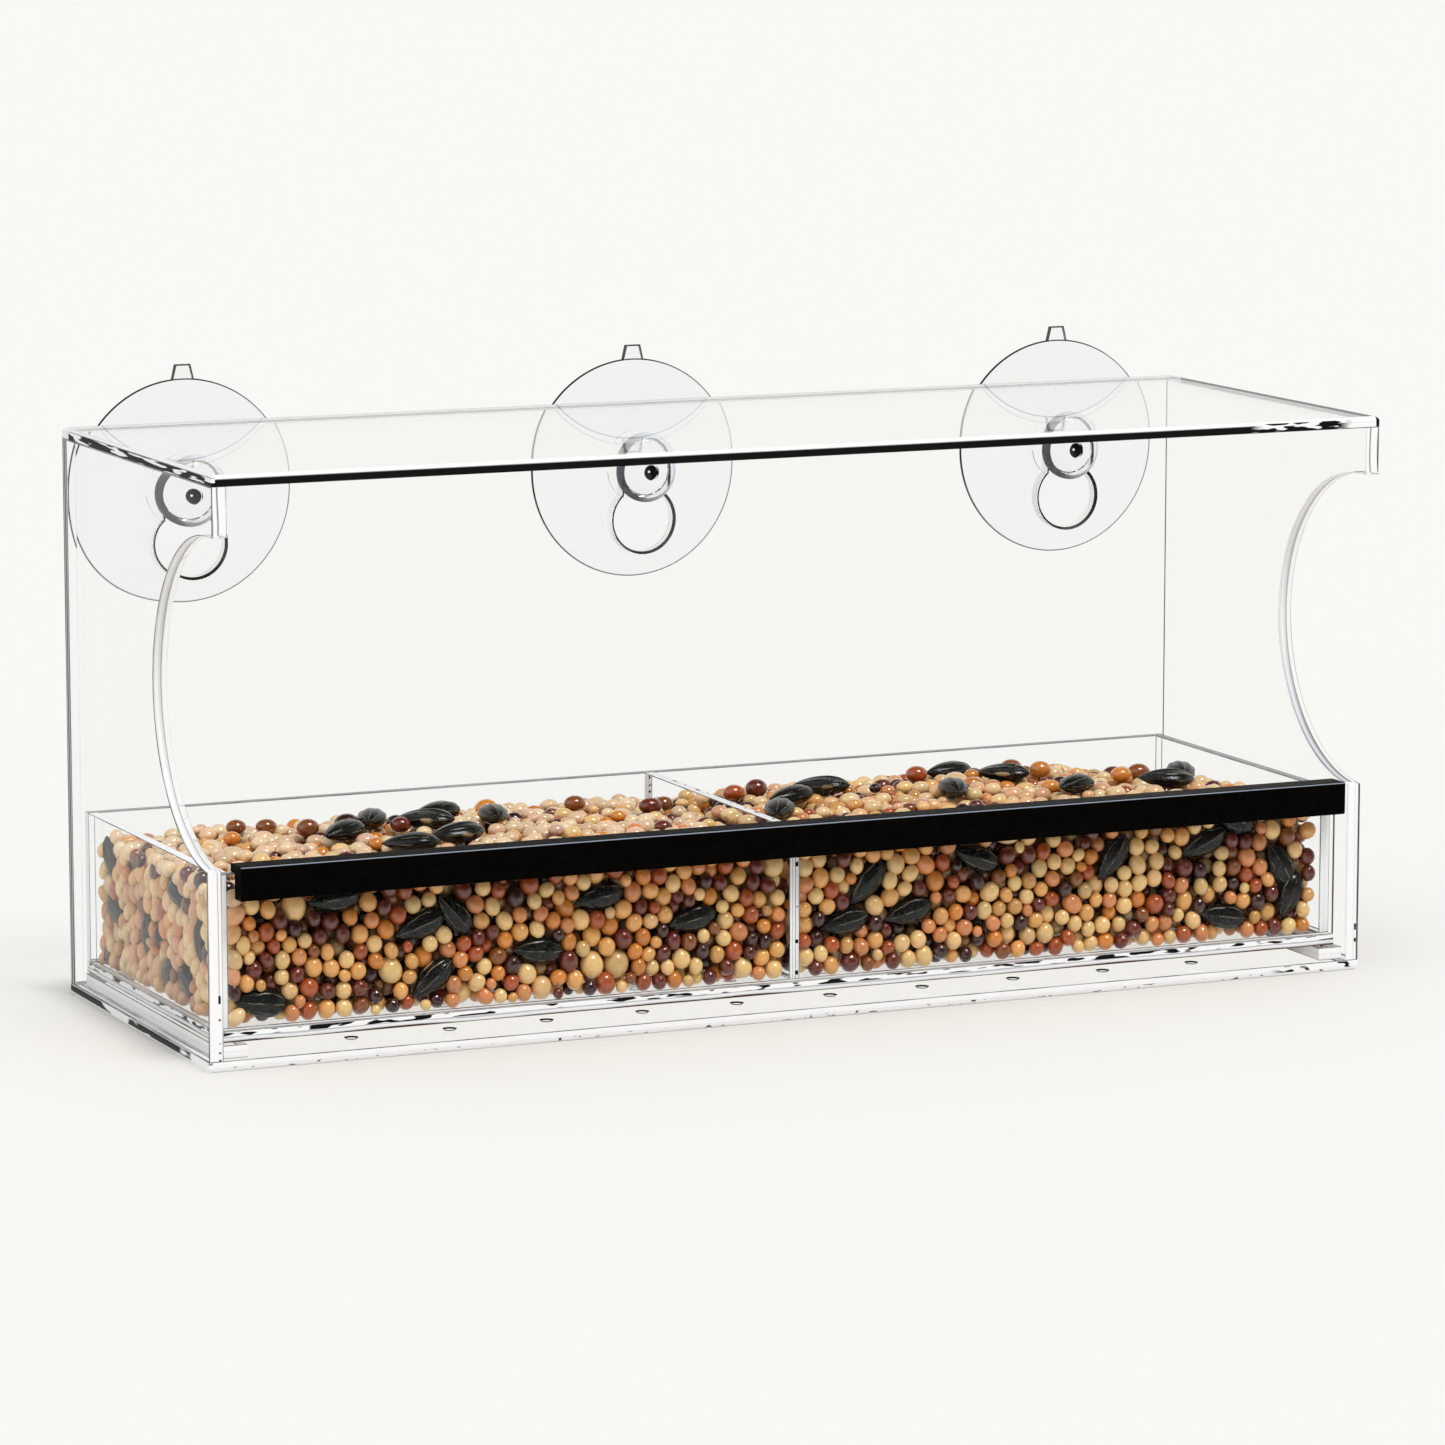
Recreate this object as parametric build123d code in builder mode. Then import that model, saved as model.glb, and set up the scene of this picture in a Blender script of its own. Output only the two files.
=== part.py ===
# Window bird feeder: a clear sheet housing, a lift-out seed tray in two halves with a perch
# strip on its rim, and three suction cups that hang in keyholes in the housing's back.
#
# Millimetres. +X runs to the right along the length, +Y towards the window, +Z up.
# The origin is the middle of the housing floor's underside.
import os
from math import dist

from build123d import *

os.makedirs("parts", exist_ok=True)

# Housing
length = 330.0
height = 152.0
base_depth = 111.0
roof_overhang = 7.0
side_sheet = 4.0
back_sheet = 4.0
roof_sheet = 3.0
floor_sheet = 3.0
outer_round = 1.2
edge_round = 0.5

# Side cut-outs, half circles that open to the front, with a stub of the side sheet above them
cutout_radius = 42.5
cutout_setout = 2.7
stub_height = 12.7

# Drain holes in both floors
drain_radius = 1.5
drain_pitch = 27.0
drain_inset = 14.5

# Runners that lift the tray off the floor
runner_height = 3.5
runner_width = 7.0
runner_end_gap = 2.0

# Tray
tray_sheet = 3.0
tray_rim_height = 49.8
tray_side_gap = 1.0
tray_back_gap = 0.4
tray_setback = 4.8

# Perch strip on the tray's front rim
perch_pad = 4.7
perch_height = 8.8
perch_cap = 2.2
perch_left_inset = 4.0
perch_right_overhang = 0.4
perch_round = 0.7

# Suction cups and the keyholes that hold them
cup_inset = 35.0
cup_drop = 19.0
keyhole_drop = 13.6
entry_radius = 8.8
neck_radius = 5.6
neck_clearance = 0.1
face_clearance = 0.1
head_clearance = 0.3
head_height = 5.2
head_edge = 2.0
head_round = 0.6
dimple_radius = 2.6
dimple_depth = 1.8
disc_radius = 30.0
disc_reach = 4.8
disc_lip = 0.8
disc_rim_width = 1.2
disc_hollow = 1.9
shoulder_radius = 9.0
shoulder_step = 0.6
disc_bow = 0.5
tab_reach = 3.8
tab_base_width = 6.2
tab_tip_width = 4.4
tab_thickness = 1.6
tab_root = 1.0

# Seed mix, a crowned heap in each half of the tray, with its outer seeds half sunk in a body
seed_gap = 0.3
seed_radius = 2.8
seed_pitch = 6.2
seed_row_pitch = 5.9
seed_spacing = 5.7
seed_body_depth = 3.6
seed_drop_front = 3.0
seed_drop_middle = 1.8
seed_drop_back = 7.0
seed_drop_side = 5.5
seed_drop_divider = 3.4
heap_middle_share = 0.5

# Sunflower seeds that lie on the heaps, each at a share of its half's width and depth, with the
# turn of its long axis in degrees
sunflower_length = 13.0
sunflower_width = 6.4
sunflower_thickness = 4.2
sunflower_widest = 1.5
sunflower_gap = 0.2
sunflower_left_shares = (
    (0.41, 0.50),
    (0.47, 0.68),
    (0.53, 0.52),
    (0.53, 0.28),
    (0.61, 0.60),
    (0.63, 0.21),
    (0.69, 0.47),
)
sunflower_left_turns = (80, 25, -40, 10, 65, -20, 35)
sunflower_right_shares = (
    (0.05, 0.32),
    (0.12, 0.49),
    (0.21, 0.60),
    (0.40, 0.37),
    (0.50, 0.74),
    (0.56, 0.58),
    (0.62, 0.32),
    (0.82, 0.38),
    (0.89, 0.50),
)
sunflower_right_turns = (60, 20, -35, 75, 15, -50, 30, -10, 70)

# Places that follow from the sizes above
outer_side = length / 2
inner_side = outer_side - side_sheet
front_edge = -base_depth / 2
roof_front = front_edge - roof_overhang
outer_back = base_depth / 2
inner_back = outer_back - back_sheet
roof_underside = height - roof_sheet
cutout_middle = front_edge - cutout_setout
stub_bottom = roof_underside - stub_height
cutout_height = stub_bottom - cutout_radius
side_top = cutout_height - (cutout_radius**2 - cutout_setout**2) ** 0.5

tray_bottom = floor_sheet + runner_height
tray_floor_top = tray_bottom + tray_sheet
tray_side = inner_side - tray_side_gap
tray_front = front_edge + tray_setback
tray_back = inner_back - tray_back_gap
tray_depth = tray_back - tray_front
tray_middle = (tray_front + tray_back) / 2
wall_height = tray_rim_height - tray_floor_top

cup_pitch = outer_side - cup_inset
cup_height = height - cup_drop
entry_height = cup_height - keyhole_drop
slot_radius = neck_radius + neck_clearance
head_radius = entry_radius - head_clearance
cup_places = {"left": -cup_pitch, "middle": 0.0, "right": cup_pitch}


def drain_count(span, pitch):
    """How many holes a row takes, an even number so that none lies on the centre line."""
    pairs = int((span / 2) / pitch)
    return 2 * pairs


# Floor of the housing, its lower edges rounded over
drain_rows = base_depth - 2 * drain_inset
floor_drains = drain_count(length - 2 * (side_sheet + runner_width + drain_inset), drain_pitch)
with BuildPart() as floor_panel:
    with BuildSketch(Plane.XY):
        Rectangle(length, base_depth)
    extrude(amount=floor_sheet)
    fillet(floor_panel.faces().sort_by(Axis.Z)[0].edges(), radius=outer_round)
    with Locations(Plane.XY.offset(floor_sheet)):
        with GridLocations(drain_pitch, drain_rows, floor_drains, 2):
            Hole(radius=drain_radius)
floor_panel.part.label = "floor_panel"
export_step(floor_panel.part, "parts/floor_panel.step")

# Roof, which reaches out over the front
roof_depth = outer_back - roof_front
roof_middle = (outer_back + roof_front) / 2
with BuildPart() as roof_panel:
    with BuildSketch(Plane.XY.offset(roof_underside)):
        with Locations((0, roof_middle)):
            Rectangle(length, roof_depth)
    extrude(amount=roof_sheet)
    fillet(roof_panel.faces().sort_by(Axis.Z)[-1].edges(), radius=outer_round)
roof_panel.part.label = "roof_panel"
export_step(roof_panel.part, "parts/roof_panel.step")

# Back panel with a keyhole for each cup: a round entry below, a narrow seat above
back_plane = Plane(origin=(0, inner_back, 0), x_dir=(1, 0, 0), z_dir=(0, -1, 0))
back_height = roof_underside - floor_sheet
back_middle = (roof_underside + floor_sheet) / 2
slot_middle = (cup_height + entry_height) / 2
with BuildPart() as back_panel:
    with BuildSketch(back_plane):
        with Locations((0, back_middle)):
            Rectangle(length, back_height)
        for place in cup_places.values():
            with Locations((place, entry_height)):
                Circle(entry_radius, mode=Mode.SUBTRACT)
            with Locations((place, slot_middle)):
                SlotCenterToCenter(keyhole_drop, 2 * slot_radius, rotation=90, mode=Mode.SUBTRACT)
    extrude(amount=-back_sheet)
    upright_edges = back_panel.faces().sort_by(Axis.Y)[-1].edges().filter_by(Axis.Z)
    fillet(upright_edges.sort_by(Axis.X)[0], radius=outer_round)
    upright_edges = back_panel.faces().sort_by(Axis.Y)[-1].edges().filter_by(Axis.Z)
    fillet(upright_edges.sort_by(Axis.X)[-1], radius=outer_round)
back_panel.part.label = "back_panel"
export_step(back_panel.part, "parts/back_panel.step")


def side_outline():
    """The side sheet's outline on the YZ plane: a wall below, the half circle, a stub above."""
    Line((front_edge, side_top), (front_edge, floor_sheet))
    Line((front_edge, floor_sheet), (inner_back, floor_sheet))
    Line((inner_back, floor_sheet), (inner_back, roof_underside))
    Line((inner_back, roof_underside), (roof_front, roof_underside))
    Line((roof_front, roof_underside), (roof_front, stub_bottom))
    Line((roof_front, stub_bottom), (cutout_middle, stub_bottom))
    deepest = (cutout_middle + cutout_radius, cutout_height)
    ThreePointArc((cutout_middle, stub_bottom), deepest, (front_edge, side_top))


def cutout_edges(part):
    """The free edges of a side sheet: both rims of the half circle."""
    return part.edges().filter_by(GeomType.CIRCLE)


# Left side panel
with BuildPart() as left_side_panel:
    with BuildSketch(Plane.YZ.offset(-outer_side)):
        with BuildLine():
            side_outline()
        make_face()
    extrude(amount=side_sheet)
    chamfer(cutout_edges(left_side_panel), length=edge_round)
left_side_panel.part.label = "left_side_panel"
export_step(left_side_panel.part, "parts/left_side_panel.step")

# Right side panel
with BuildPart() as right_side_panel:
    with BuildSketch(Plane.YZ.offset(inner_side)):
        with BuildLine():
            side_outline()
        make_face()
    extrude(amount=side_sheet)
    chamfer(cutout_edges(right_side_panel), length=edge_round)
right_side_panel.part.label = "right_side_panel"
export_step(right_side_panel.part, "parts/right_side_panel.step")

# Runners, one along each side of the floor
runner_place = inner_side - runner_width / 2
runner_length = inner_back - front_edge - 2 * runner_end_gap
runner_middle = (inner_back + front_edge) / 2
for name, side in (("left_runner", -1), ("right_runner", 1)):
    with BuildPart() as runner:
        with BuildSketch(Plane.XY.offset(floor_sheet)):
            with Locations((side * runner_place, runner_middle)):
                Rectangle(runner_width, runner_length)
        extrude(amount=runner_height)
    runner.part.label = name
    export_step(runner.part, f"parts/{name}.step")

# Tray floor, with its own drain holes
tray_drain_rows = tray_depth - 2 * drain_inset
tray_drains = drain_count(2 * (tray_side - tray_sheet - drain_inset), drain_pitch)
with BuildPart() as tray_floor:
    with BuildSketch(Plane.XY.offset(tray_bottom)):
        with Locations((0, tray_middle)):
            Rectangle(2 * tray_side, tray_depth)
    extrude(amount=tray_sheet)
    with Locations(Plane.XY.offset(tray_floor_top)):
        with Locations((0, tray_middle)):
            with GridLocations(drain_pitch, tray_drain_rows, tray_drains, 2):
                Hole(radius=drain_radius)
tray_floor.part.label = "tray_floor"
export_step(tray_floor.part, "parts/tray_floor.step")

# Tray walls stand on the tray floor, the front and back ones over the whole width
wall_places = {
    "tray_front_wall": ((0, tray_front + tray_sheet / 2), (2 * tray_side, tray_sheet)),
    "tray_back_wall": ((0, tray_back - tray_sheet / 2), (2 * tray_side, tray_sheet)),
    "tray_left_wall": ((tray_sheet / 2 - tray_side, tray_middle), (tray_sheet, tray_depth - 2 * tray_sheet)),
    "tray_right_wall": ((tray_side - tray_sheet / 2, tray_middle), (tray_sheet, tray_depth - 2 * tray_sheet)),
    "tray_divider": ((0, tray_middle), (tray_sheet, tray_depth - 2 * tray_sheet)),
}
for name, (middle, size) in wall_places.items():
    with BuildPart() as wall:
        with BuildSketch(Plane.XY.offset(tray_floor_top)):
            with Locations(middle):
                Rectangle(*size)
        extrude(amount=wall_height)
    wall.part.label = name
    export_step(wall.part, f"parts/{name}.step")

# Perch strip: a thick pad in front of the rim and a cap over it
perch_front = tray_front - perch_pad
perch_top = tray_rim_height + perch_cap
perch_rear = tray_front + tray_sheet
perch_left = perch_left_inset - tray_side
perch_right = tray_side + perch_right_overhang
with BuildPart() as perch_strip:
    with BuildSketch(Plane.YZ.offset(perch_left)):
        with BuildLine():
            Polyline(
                (perch_front, perch_top - perch_height),
                (tray_front, perch_top - perch_height),
                (tray_front, tray_rim_height),
                (perch_rear, tray_rim_height),
                (perch_rear, perch_top),
                (perch_front, perch_top),
                close=True,
            )
        make_face()
    extrude(amount=perch_right - perch_left)
    long_edges = perch_strip.edges().filter_by(Axis.X)
    front_edges = long_edges.group_by(Axis.Y)[0]
    rear_top_edge = long_edges.group_by(Axis.Z)[-1].sort_by(Axis.Y)[-1]
    fillet(front_edges + [rear_top_edge], radius=perch_round)
perch_strip.part.label = "perch_strip"
export_step(perch_strip.part, "parts/perch_strip.step")

# Suction cups: a mushroom head inside, a neck in the keyhole and a dished disc outside
head_underside = inner_back - face_clearance
head_tip = head_underside - head_height
head_shoulder = head_underside - head_edge
disc_shoulder = outer_back + face_clearance
disc_foot = disc_shoulder + shoulder_step
rim_plane = outer_back + disc_reach
bow_radius = (shoulder_radius + disc_radius) / 2
bow_reach = (disc_foot + rim_plane - disc_lip) / 2 - disc_bow
hollow_radius = disc_radius - disc_rim_width
dome_middle = (dimple_radius + head_radius) / 2
dome_reach = head_tip + (head_shoulder - head_tip) * (dome_middle / head_radius) ** 2 / 2
for side, place in cup_places.items():
    cup_plane = Plane(origin=(place, 0, cup_height), x_dir=(0, 1, 0), z_dir=(1, 0, 0))
    tab_plane = Plane(origin=(place, rim_plane, cup_height), x_dir=(1, 0, 0), z_dir=(0, -1, 0))
    with BuildPart() as cup:
        with BuildSketch(cup_plane):
            with BuildLine():
                Line((head_tip + dimple_depth, 0), (head_tip, dimple_radius))
                ThreePointArc(
                    (head_tip, dimple_radius),
                    (dome_reach, dome_middle),
                    (head_shoulder, head_radius),
                )
                Line((head_shoulder, head_radius), (head_underside - head_round, head_radius))
                RadiusArc(
                    (head_underside - head_round, head_radius),
                    (head_underside, head_radius - head_round),
                    head_round,
                )
                Line((head_underside, head_radius - head_round), (head_underside, neck_radius))
                Line((head_underside, neck_radius), (disc_shoulder, neck_radius))
                Line((disc_shoulder, neck_radius), (disc_shoulder, shoulder_radius))
                Line((disc_shoulder, shoulder_radius), (disc_foot, shoulder_radius))
                ThreePointArc(
                    (disc_foot, shoulder_radius),
                    (bow_reach, bow_radius),
                    (rim_plane - disc_lip, disc_radius),
                )
                Line((rim_plane - disc_lip, disc_radius), (rim_plane, disc_radius))
                Line((rim_plane, disc_radius), (rim_plane, hollow_radius))
                TangentArc((rim_plane - disc_hollow, 0), (rim_plane, hollow_radius), tangent=(0, 1))
                Line((rim_plane - disc_hollow, 0), (head_tip + dimple_depth, 0))
            make_face()
        revolve(axis=Axis((place, 0, cup_height), (0, 1, 0)))
        with BuildSketch(tab_plane):
            with BuildLine():
                Polyline(
                    (-tab_base_width / 2, disc_radius - tab_root),
                    (tab_base_width / 2, disc_radius - tab_root),
                    (tab_tip_width / 2, disc_radius + tab_reach),
                    (-tab_tip_width / 2, disc_radius + tab_reach),
                    close=True,
                )
            make_face()
        extrude(amount=tab_thickness)
    cup.part.label = f"suction_cup_{side}"
    export_step(cup.part, f"parts/suction_cup_{side}.step")

# Seed mix: each heap lies clear of the walls and is crowned both ways
seed_rear = tray_back - tray_sheet - seed_gap
seed_fore = tray_front + tray_sheet + seed_gap
seed_outer = tray_side - tray_sheet - seed_gap
seed_inner = tray_sheet / 2 + seed_gap
heap_y = seed_fore + (seed_rear - seed_fore) * heap_middle_share
heap_x = seed_inner + (seed_outer - seed_inner) * heap_middle_share
front_level = tray_rim_height - seed_drop_front
middle_level = tray_rim_height - seed_drop_middle
back_level = tray_rim_height - seed_drop_back
side_level = tray_rim_height - seed_drop_side
divider_level = tray_rim_height - seed_drop_divider
seed_body_fore = seed_fore + seed_body_depth
seed_body_plane = Plane(origin=(0, seed_body_fore, 0), x_dir=(1, 0, 0), z_dir=(0, -1, 0))


def depth_crown():
    """The heap's crown from front to back, in Y and Z."""
    return ThreePointArc((seed_fore, front_level), (heap_y, middle_level), (seed_rear, back_level))


def width_crown(side):
    """The heap's crown from the divider to the side wall, in X and Z."""
    return ThreePointArc(
        (side * seed_inner, divider_level),
        (side * heap_x, middle_level),
        (side * seed_outer, side_level),
    )


def even_places(low, high, pitch, shifted):
    """Places of a row of seeds between two walls, or of the next row, shifted by half a pitch."""
    count = max(int((high - low - 2 * seed_radius) / pitch), 1)
    step = (high - low - 2 * seed_radius) / count
    first = low + seed_radius + (step / 2 if shifted else 0)
    return [first + step * index for index in range(count + (0 if shifted else 1))]


def surface_seeds(side):
    """Middles of the seeds that show on a heap: rows on its crown, then rows down its four sides."""
    across, along = width_crown(side), depth_crown()
    low_x, high_x = sorted((side * seed_inner, side * seed_outer))
    across_places = [even_places(low_x, high_x, seed_pitch, shifted) for shifted in (False, True)]
    along_places = [even_places(seed_fore, seed_rear, seed_pitch, shifted) for shifted in (False, True)]
    heights = even_places(tray_floor_top + seed_gap, middle_level, seed_row_pitch, False)

    def top(x, y):
        across_level = (across @ ((side * x - seed_inner) / (seed_outer - seed_inner))).Y
        along_level = (along @ ((y - seed_fore) / (seed_rear - seed_fore))).Y
        return min(across_level, along_level) - seed_radius

    rows = even_places(seed_fore, seed_rear, seed_row_pitch, False)
    middles = [(x, y, top(x, y)) for index, y in enumerate(rows) for x in across_places[index % 2]]
    for index, z in enumerate(heights):
        for y in (seed_fore + seed_radius, seed_rear - seed_radius):
            middles += [(x, y, z) for x in across_places[index % 2]]
        for x in (low_x + seed_radius, high_x - seed_radius):
            middles += [(x, y, z) for y in along_places[index % 2]]
    kept = []
    for middle in middles:
        under_crown = middle[2] <= top(middle[0], middle[1])
        if under_crown and all(dist(middle, other) > seed_spacing for other in kept):
            kept.append(middle)
    return kept


for name, side in (("seed_mix_left", -1), ("seed_mix_right", 1)):
    low_x, high_x = sorted((side * seed_inner, side * seed_outer))
    with BuildPart() as heap:
        with BuildSketch(Plane.YZ.offset(low_x + seed_body_depth)):
            with BuildLine():
                Polyline(
                    (seed_fore, tray_floor_top),
                    (seed_fore, front_level - seed_body_depth),
                    (heap_y, middle_level - seed_body_depth),
                    (seed_rear, back_level - seed_body_depth),
                    (seed_rear, tray_floor_top),
                    close=True,
                )
            make_face()
        extrude(amount=high_x - low_x - 2 * seed_body_depth)
        with BuildSketch(seed_body_plane):
            with BuildLine():
                Polyline(
                    (side * seed_outer, tray_floor_top),
                    (side * seed_outer, side_level - seed_body_depth),
                    (side * heap_x, middle_level - seed_body_depth),
                    (side * seed_inner, divider_level - seed_body_depth),
                    (side * seed_inner, tray_floor_top),
                    close=True,
                )
            make_face()
        extrude(amount=seed_fore - seed_rear + 2 * seed_body_depth, mode=Mode.INTERSECT)
        with Locations(*surface_seeds(side)):
            Sphere(seed_radius)
    heap.part.label = name
    export_step(heap.part, f"parts/{name}.step")


def seed_bed(side, width_share, depth_share, turn):
    """The plane at a loose seed's middle: it lies on the lower of the heap's two crowns."""
    across, along = width_crown(side), depth_crown()
    place_x, across_level = (across @ width_share).X, (across @ width_share).Y
    place_y, along_level = (along @ depth_share).X, (along @ depth_share).Y
    if across_level < along_level:
        slope = across % width_share
        up = Vector(-slope.Y, 0, slope.X) * side
    else:
        slope = along % depth_share
        up = Vector(0, -slope.Y, slope.X)
    foot = Vector(place_x, place_y, min(across_level, along_level))
    middle = foot + up * (sunflower_gap + sunflower_thickness / 2)
    return Plane(origin=middle, x_dir=Vector(1, 0, 0).rotate(Axis.Z, turn), z_dir=up)


# Sunflower seed: a drop that is blunt at one end and pointed at the other, then flattened
seed_tip = -sunflower_length / 2
seed_butt = sunflower_length / 2
seed_belly = (sunflower_widest, sunflower_width / 2)
with BuildPart() as sunflower_seed:
    with BuildSketch(Plane.XY):
        with BuildLine():
            Line((seed_tip, 0), (seed_butt, 0))
            TangentArc(seed_belly, (seed_butt, 0), tangent=(1, 0))
            TangentArc(seed_belly, (seed_tip, 0), tangent=(-1, 0))
        make_face()
    revolve(axis=Axis.X)
    scale(by=(1, 1, sunflower_thickness / sunflower_width))

# The sunflower seeds on each heap
sunflower_beds = {
    "left": (-1, sunflower_left_shares, sunflower_left_turns),
    "right": (1, sunflower_right_shares, sunflower_right_turns),
}
for name, (side, shares, turns) in sunflower_beds.items():
    beds = [seed_bed(side, *share, turn) for share, turn in zip(shares, turns)]
    with BuildPart() as sunflower_seeds:
        with Locations(*beds):
            add(sunflower_seed.part)
    sunflower_seeds.part.label = f"sunflower_seeds_{name}"
    export_step(sunflower_seeds.part, f"parts/sunflower_seeds_{name}.step")
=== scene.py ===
"""The looks of a window bird feeder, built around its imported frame.

Metres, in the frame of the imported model: +X right along the length, +Y towards the window, +Z up.
Sheets, cups and strip are meshes of their own, with fine arcs and softened rims, because clear
plastic shows every facet. The seed heaps become single seeds.
"""
import math

import bmesh
import bpy
import numpy as np
from mathutils import Matrix, Vector
from mathutils.geometry import tessellate_polygon


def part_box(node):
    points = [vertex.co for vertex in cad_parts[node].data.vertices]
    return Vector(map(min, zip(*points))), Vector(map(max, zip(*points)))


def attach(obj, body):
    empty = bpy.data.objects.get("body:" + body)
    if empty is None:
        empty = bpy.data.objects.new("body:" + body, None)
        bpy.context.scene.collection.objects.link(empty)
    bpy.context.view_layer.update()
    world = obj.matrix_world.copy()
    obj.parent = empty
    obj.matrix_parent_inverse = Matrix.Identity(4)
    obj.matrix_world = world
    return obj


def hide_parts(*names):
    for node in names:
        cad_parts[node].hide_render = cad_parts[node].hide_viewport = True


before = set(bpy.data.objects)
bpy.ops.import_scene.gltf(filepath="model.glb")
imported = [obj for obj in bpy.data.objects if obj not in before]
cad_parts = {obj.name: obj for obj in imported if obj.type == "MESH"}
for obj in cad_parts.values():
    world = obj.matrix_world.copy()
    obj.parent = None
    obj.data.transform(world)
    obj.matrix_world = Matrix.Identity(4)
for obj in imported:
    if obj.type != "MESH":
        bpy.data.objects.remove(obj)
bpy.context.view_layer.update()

MM = 0.001

# Sizes that the frame's boxes don't give
cutout_radius = 42.5 * MM
cutout_setout = 2.7 * MM
stub_height = 12.7 * MM
outer_round = 1.2 * MM
sheet_round = 0.22 * MM
joint_gap = 0.02 * MM
drain_radius = 1.5 * MM
drain_pitch = 27.0 * MM
drain_inset = 14.5 * MM
drain_round = 0.4 * MM
keyhole_drop = 13.6 * MM
entry_radius = 8.8 * MM
slot_radius = 5.7 * MM
keyhole_round = 0.7 * MM
arc_step = math.radians(2.5)

# The camera of the photograph: a long lens, turned to the left and a little above
camera_place = (-0.67727, -1.52614, 0.33677)
camera_turn = math.radians(-23.95)
camera_lift = math.radians(9.055)
camera_lens = 157.35
sensor_width = 36.0
far_clip = 200

# The plain stage
backdrop_colour = (0.939, 0.930, 0.896)
floor_size = 60.0
floor_gap = 0.02 * MM
ambient_strength = 0.51
# Lamps: strength, and in degrees their spread, lean from overhead and turn about the upright
lamps = {"soft_sun": (1.75, 20, 30, 25), "left_fill": (0.67, 70, 55, -65)}

# Light bends less in the clear sheets than in real acrylic, whose many inner reflections would go dark
face_ior = 1.06
edge_ior = 1.08

rng = np.random.default_rng(11)


# Materials

class Tree:
    """A node tree in the making; each input is a plain value, a colour or another node's output."""

    def __init__(self, tree):
        self.tree = tree
        tree.nodes.clear()

    def fill(self, socket, value):
        """Links an output to a socket, or sets a plain value or colour there."""
        if isinstance(value, bpy.types.NodeSocket):
            self.tree.links.new(value, socket)
        else:
            socket.default_value = (*value, 1) if socket.type == "RGBA" else value

    def add(self, kind, inputs=None, **settings):
        """A new node, with its inputs filled by name or number."""
        node = self.tree.nodes.new(f"ShaderNode{kind}")
        for name, value in settings.items():
            setattr(node, name, value)
        for name, value in (inputs or {}).items():
            self.fill(node.inputs[name], value)
        return node

    def split(self, vector):
        """The three parts of a vector."""
        parts = self.add("SeparateXYZ", {0: vector}).outputs
        return {axis: parts[axis] for axis in "XYZ"}

    def noise(self, scale, detail=2.0, roughness=0.5, stretch=(1, 1, 1), vector=None):
        """A noise texture's value, over the object's own metres unless a vector is given."""
        if vector is None:
            where = self.add("TexCoord").outputs["Object"]
            vector = self.add("Mapping", {"Vector": where, "Scale": stretch}).outputs["Vector"]
        inputs = {"Vector": vector, "Scale": scale, "Detail": detail, "Roughness": roughness}
        return self.add("TexNoise", inputs).outputs["Fac"]

    def attribute(self, name, output="Fac"):
        """A value or colour stored on the mesh."""
        return self.add("Attribute", attribute_name=name).outputs[output]

    def spread(self, value, low, high, from_low=0.0, from_high=1.0):
        """value moved from one range to another."""
        ranges = {"From Min": from_low, "From Max": from_high, "To Min": low, "To Max": high}
        return self.add("MapRange", {"Value": value, **ranges}).outputs["Result"]

    def ramp(self, value, *stops):
        """A colour for each value: stops are (position, colour)."""
        ramp = self.add("ValToRGB", {"Fac": value})
        for index, (position, colour) in enumerate(stops):
            if index < 2:
                stop = ramp.color_ramp.elements[index]
                stop.position = position
            else:
                stop = ramp.color_ramp.elements.new(position)
            stop.color = (*colour, 1)
        return ramp.outputs["Color"]

    def math(self, operation, *values):
        """An operation on one or two values."""
        return self.add("Math", dict(enumerate(values)), operation=operation).outputs[0]

    def times(self, first, *others):
        """The product of values."""
        for other in others:
            first = self.math("MULTIPLY", first, other)
        return first

    def mix(self, factor, first, second, blend="MIX"):
        """Two colours mixed."""
        inputs = {0: factor, 6: first, 7: second}
        return self.add("Mix", inputs, data_type="RGBA", blend_type=blend).outputs[2]

    def rays(self, *kinds):
        """1 for rays of the given kinds."""
        paths = self.add("LightPath").outputs
        found = paths[f"Is {kinds[0]} Ray"]
        for kind in kinds[1:]:
            found = self.math("MAXIMUM", found, paths[f"Is {kind} Ray"])
        return found

    def mix_shaders(self, share, first, second):
        """A shader that changes from the first to the second as share goes from 0 to 1."""
        return self.add("MixShader", {0: share, 1: first.outputs[0], 2: second.outputs[0]}).outputs[0]


class Paint(Tree):
    """A material in the making, with its Principled shader."""

    def __init__(self, name):
        self.material = bpy.data.materials.new(name)
        self.material.use_nodes = True
        super().__init__(self.material.node_tree)
        self.shader = self.add("BsdfPrincipled")
        self.output = self.add("OutputMaterial", {"Surface": self.shader.outputs[0]})

    def set(self, **values):
        """Fills the shader's sockets, by their names with _ for each space."""
        for name, value in values.items():
            self.fill(self.shader.inputs[name.replace("_", " ")], value)

    def bump(self, height, strength, distance):
        """A height in the surface."""
        bump = self.add("Bump", {"Height": height, "Strength": strength, "Distance": distance})
        self.set(Normal=bump.outputs["Normal"])

    def show_instead(self, shader, *kinds):
        """Another shader, for rays of the given kinds."""
        mixed = self.mix_shaders(self.rays(*kinds), self.shader, shader)
        self.fill(self.output.inputs["Surface"], mixed)

    def let_lamps_through(self, tint):
        """Rays from lamps and matt surfaces pass straight through, so that what is inside is lit."""
        self.show_instead(self.add("BsdfTransparent", {"Color": tint}), "Shadow", "Diffuse")
        return self.material


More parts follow.
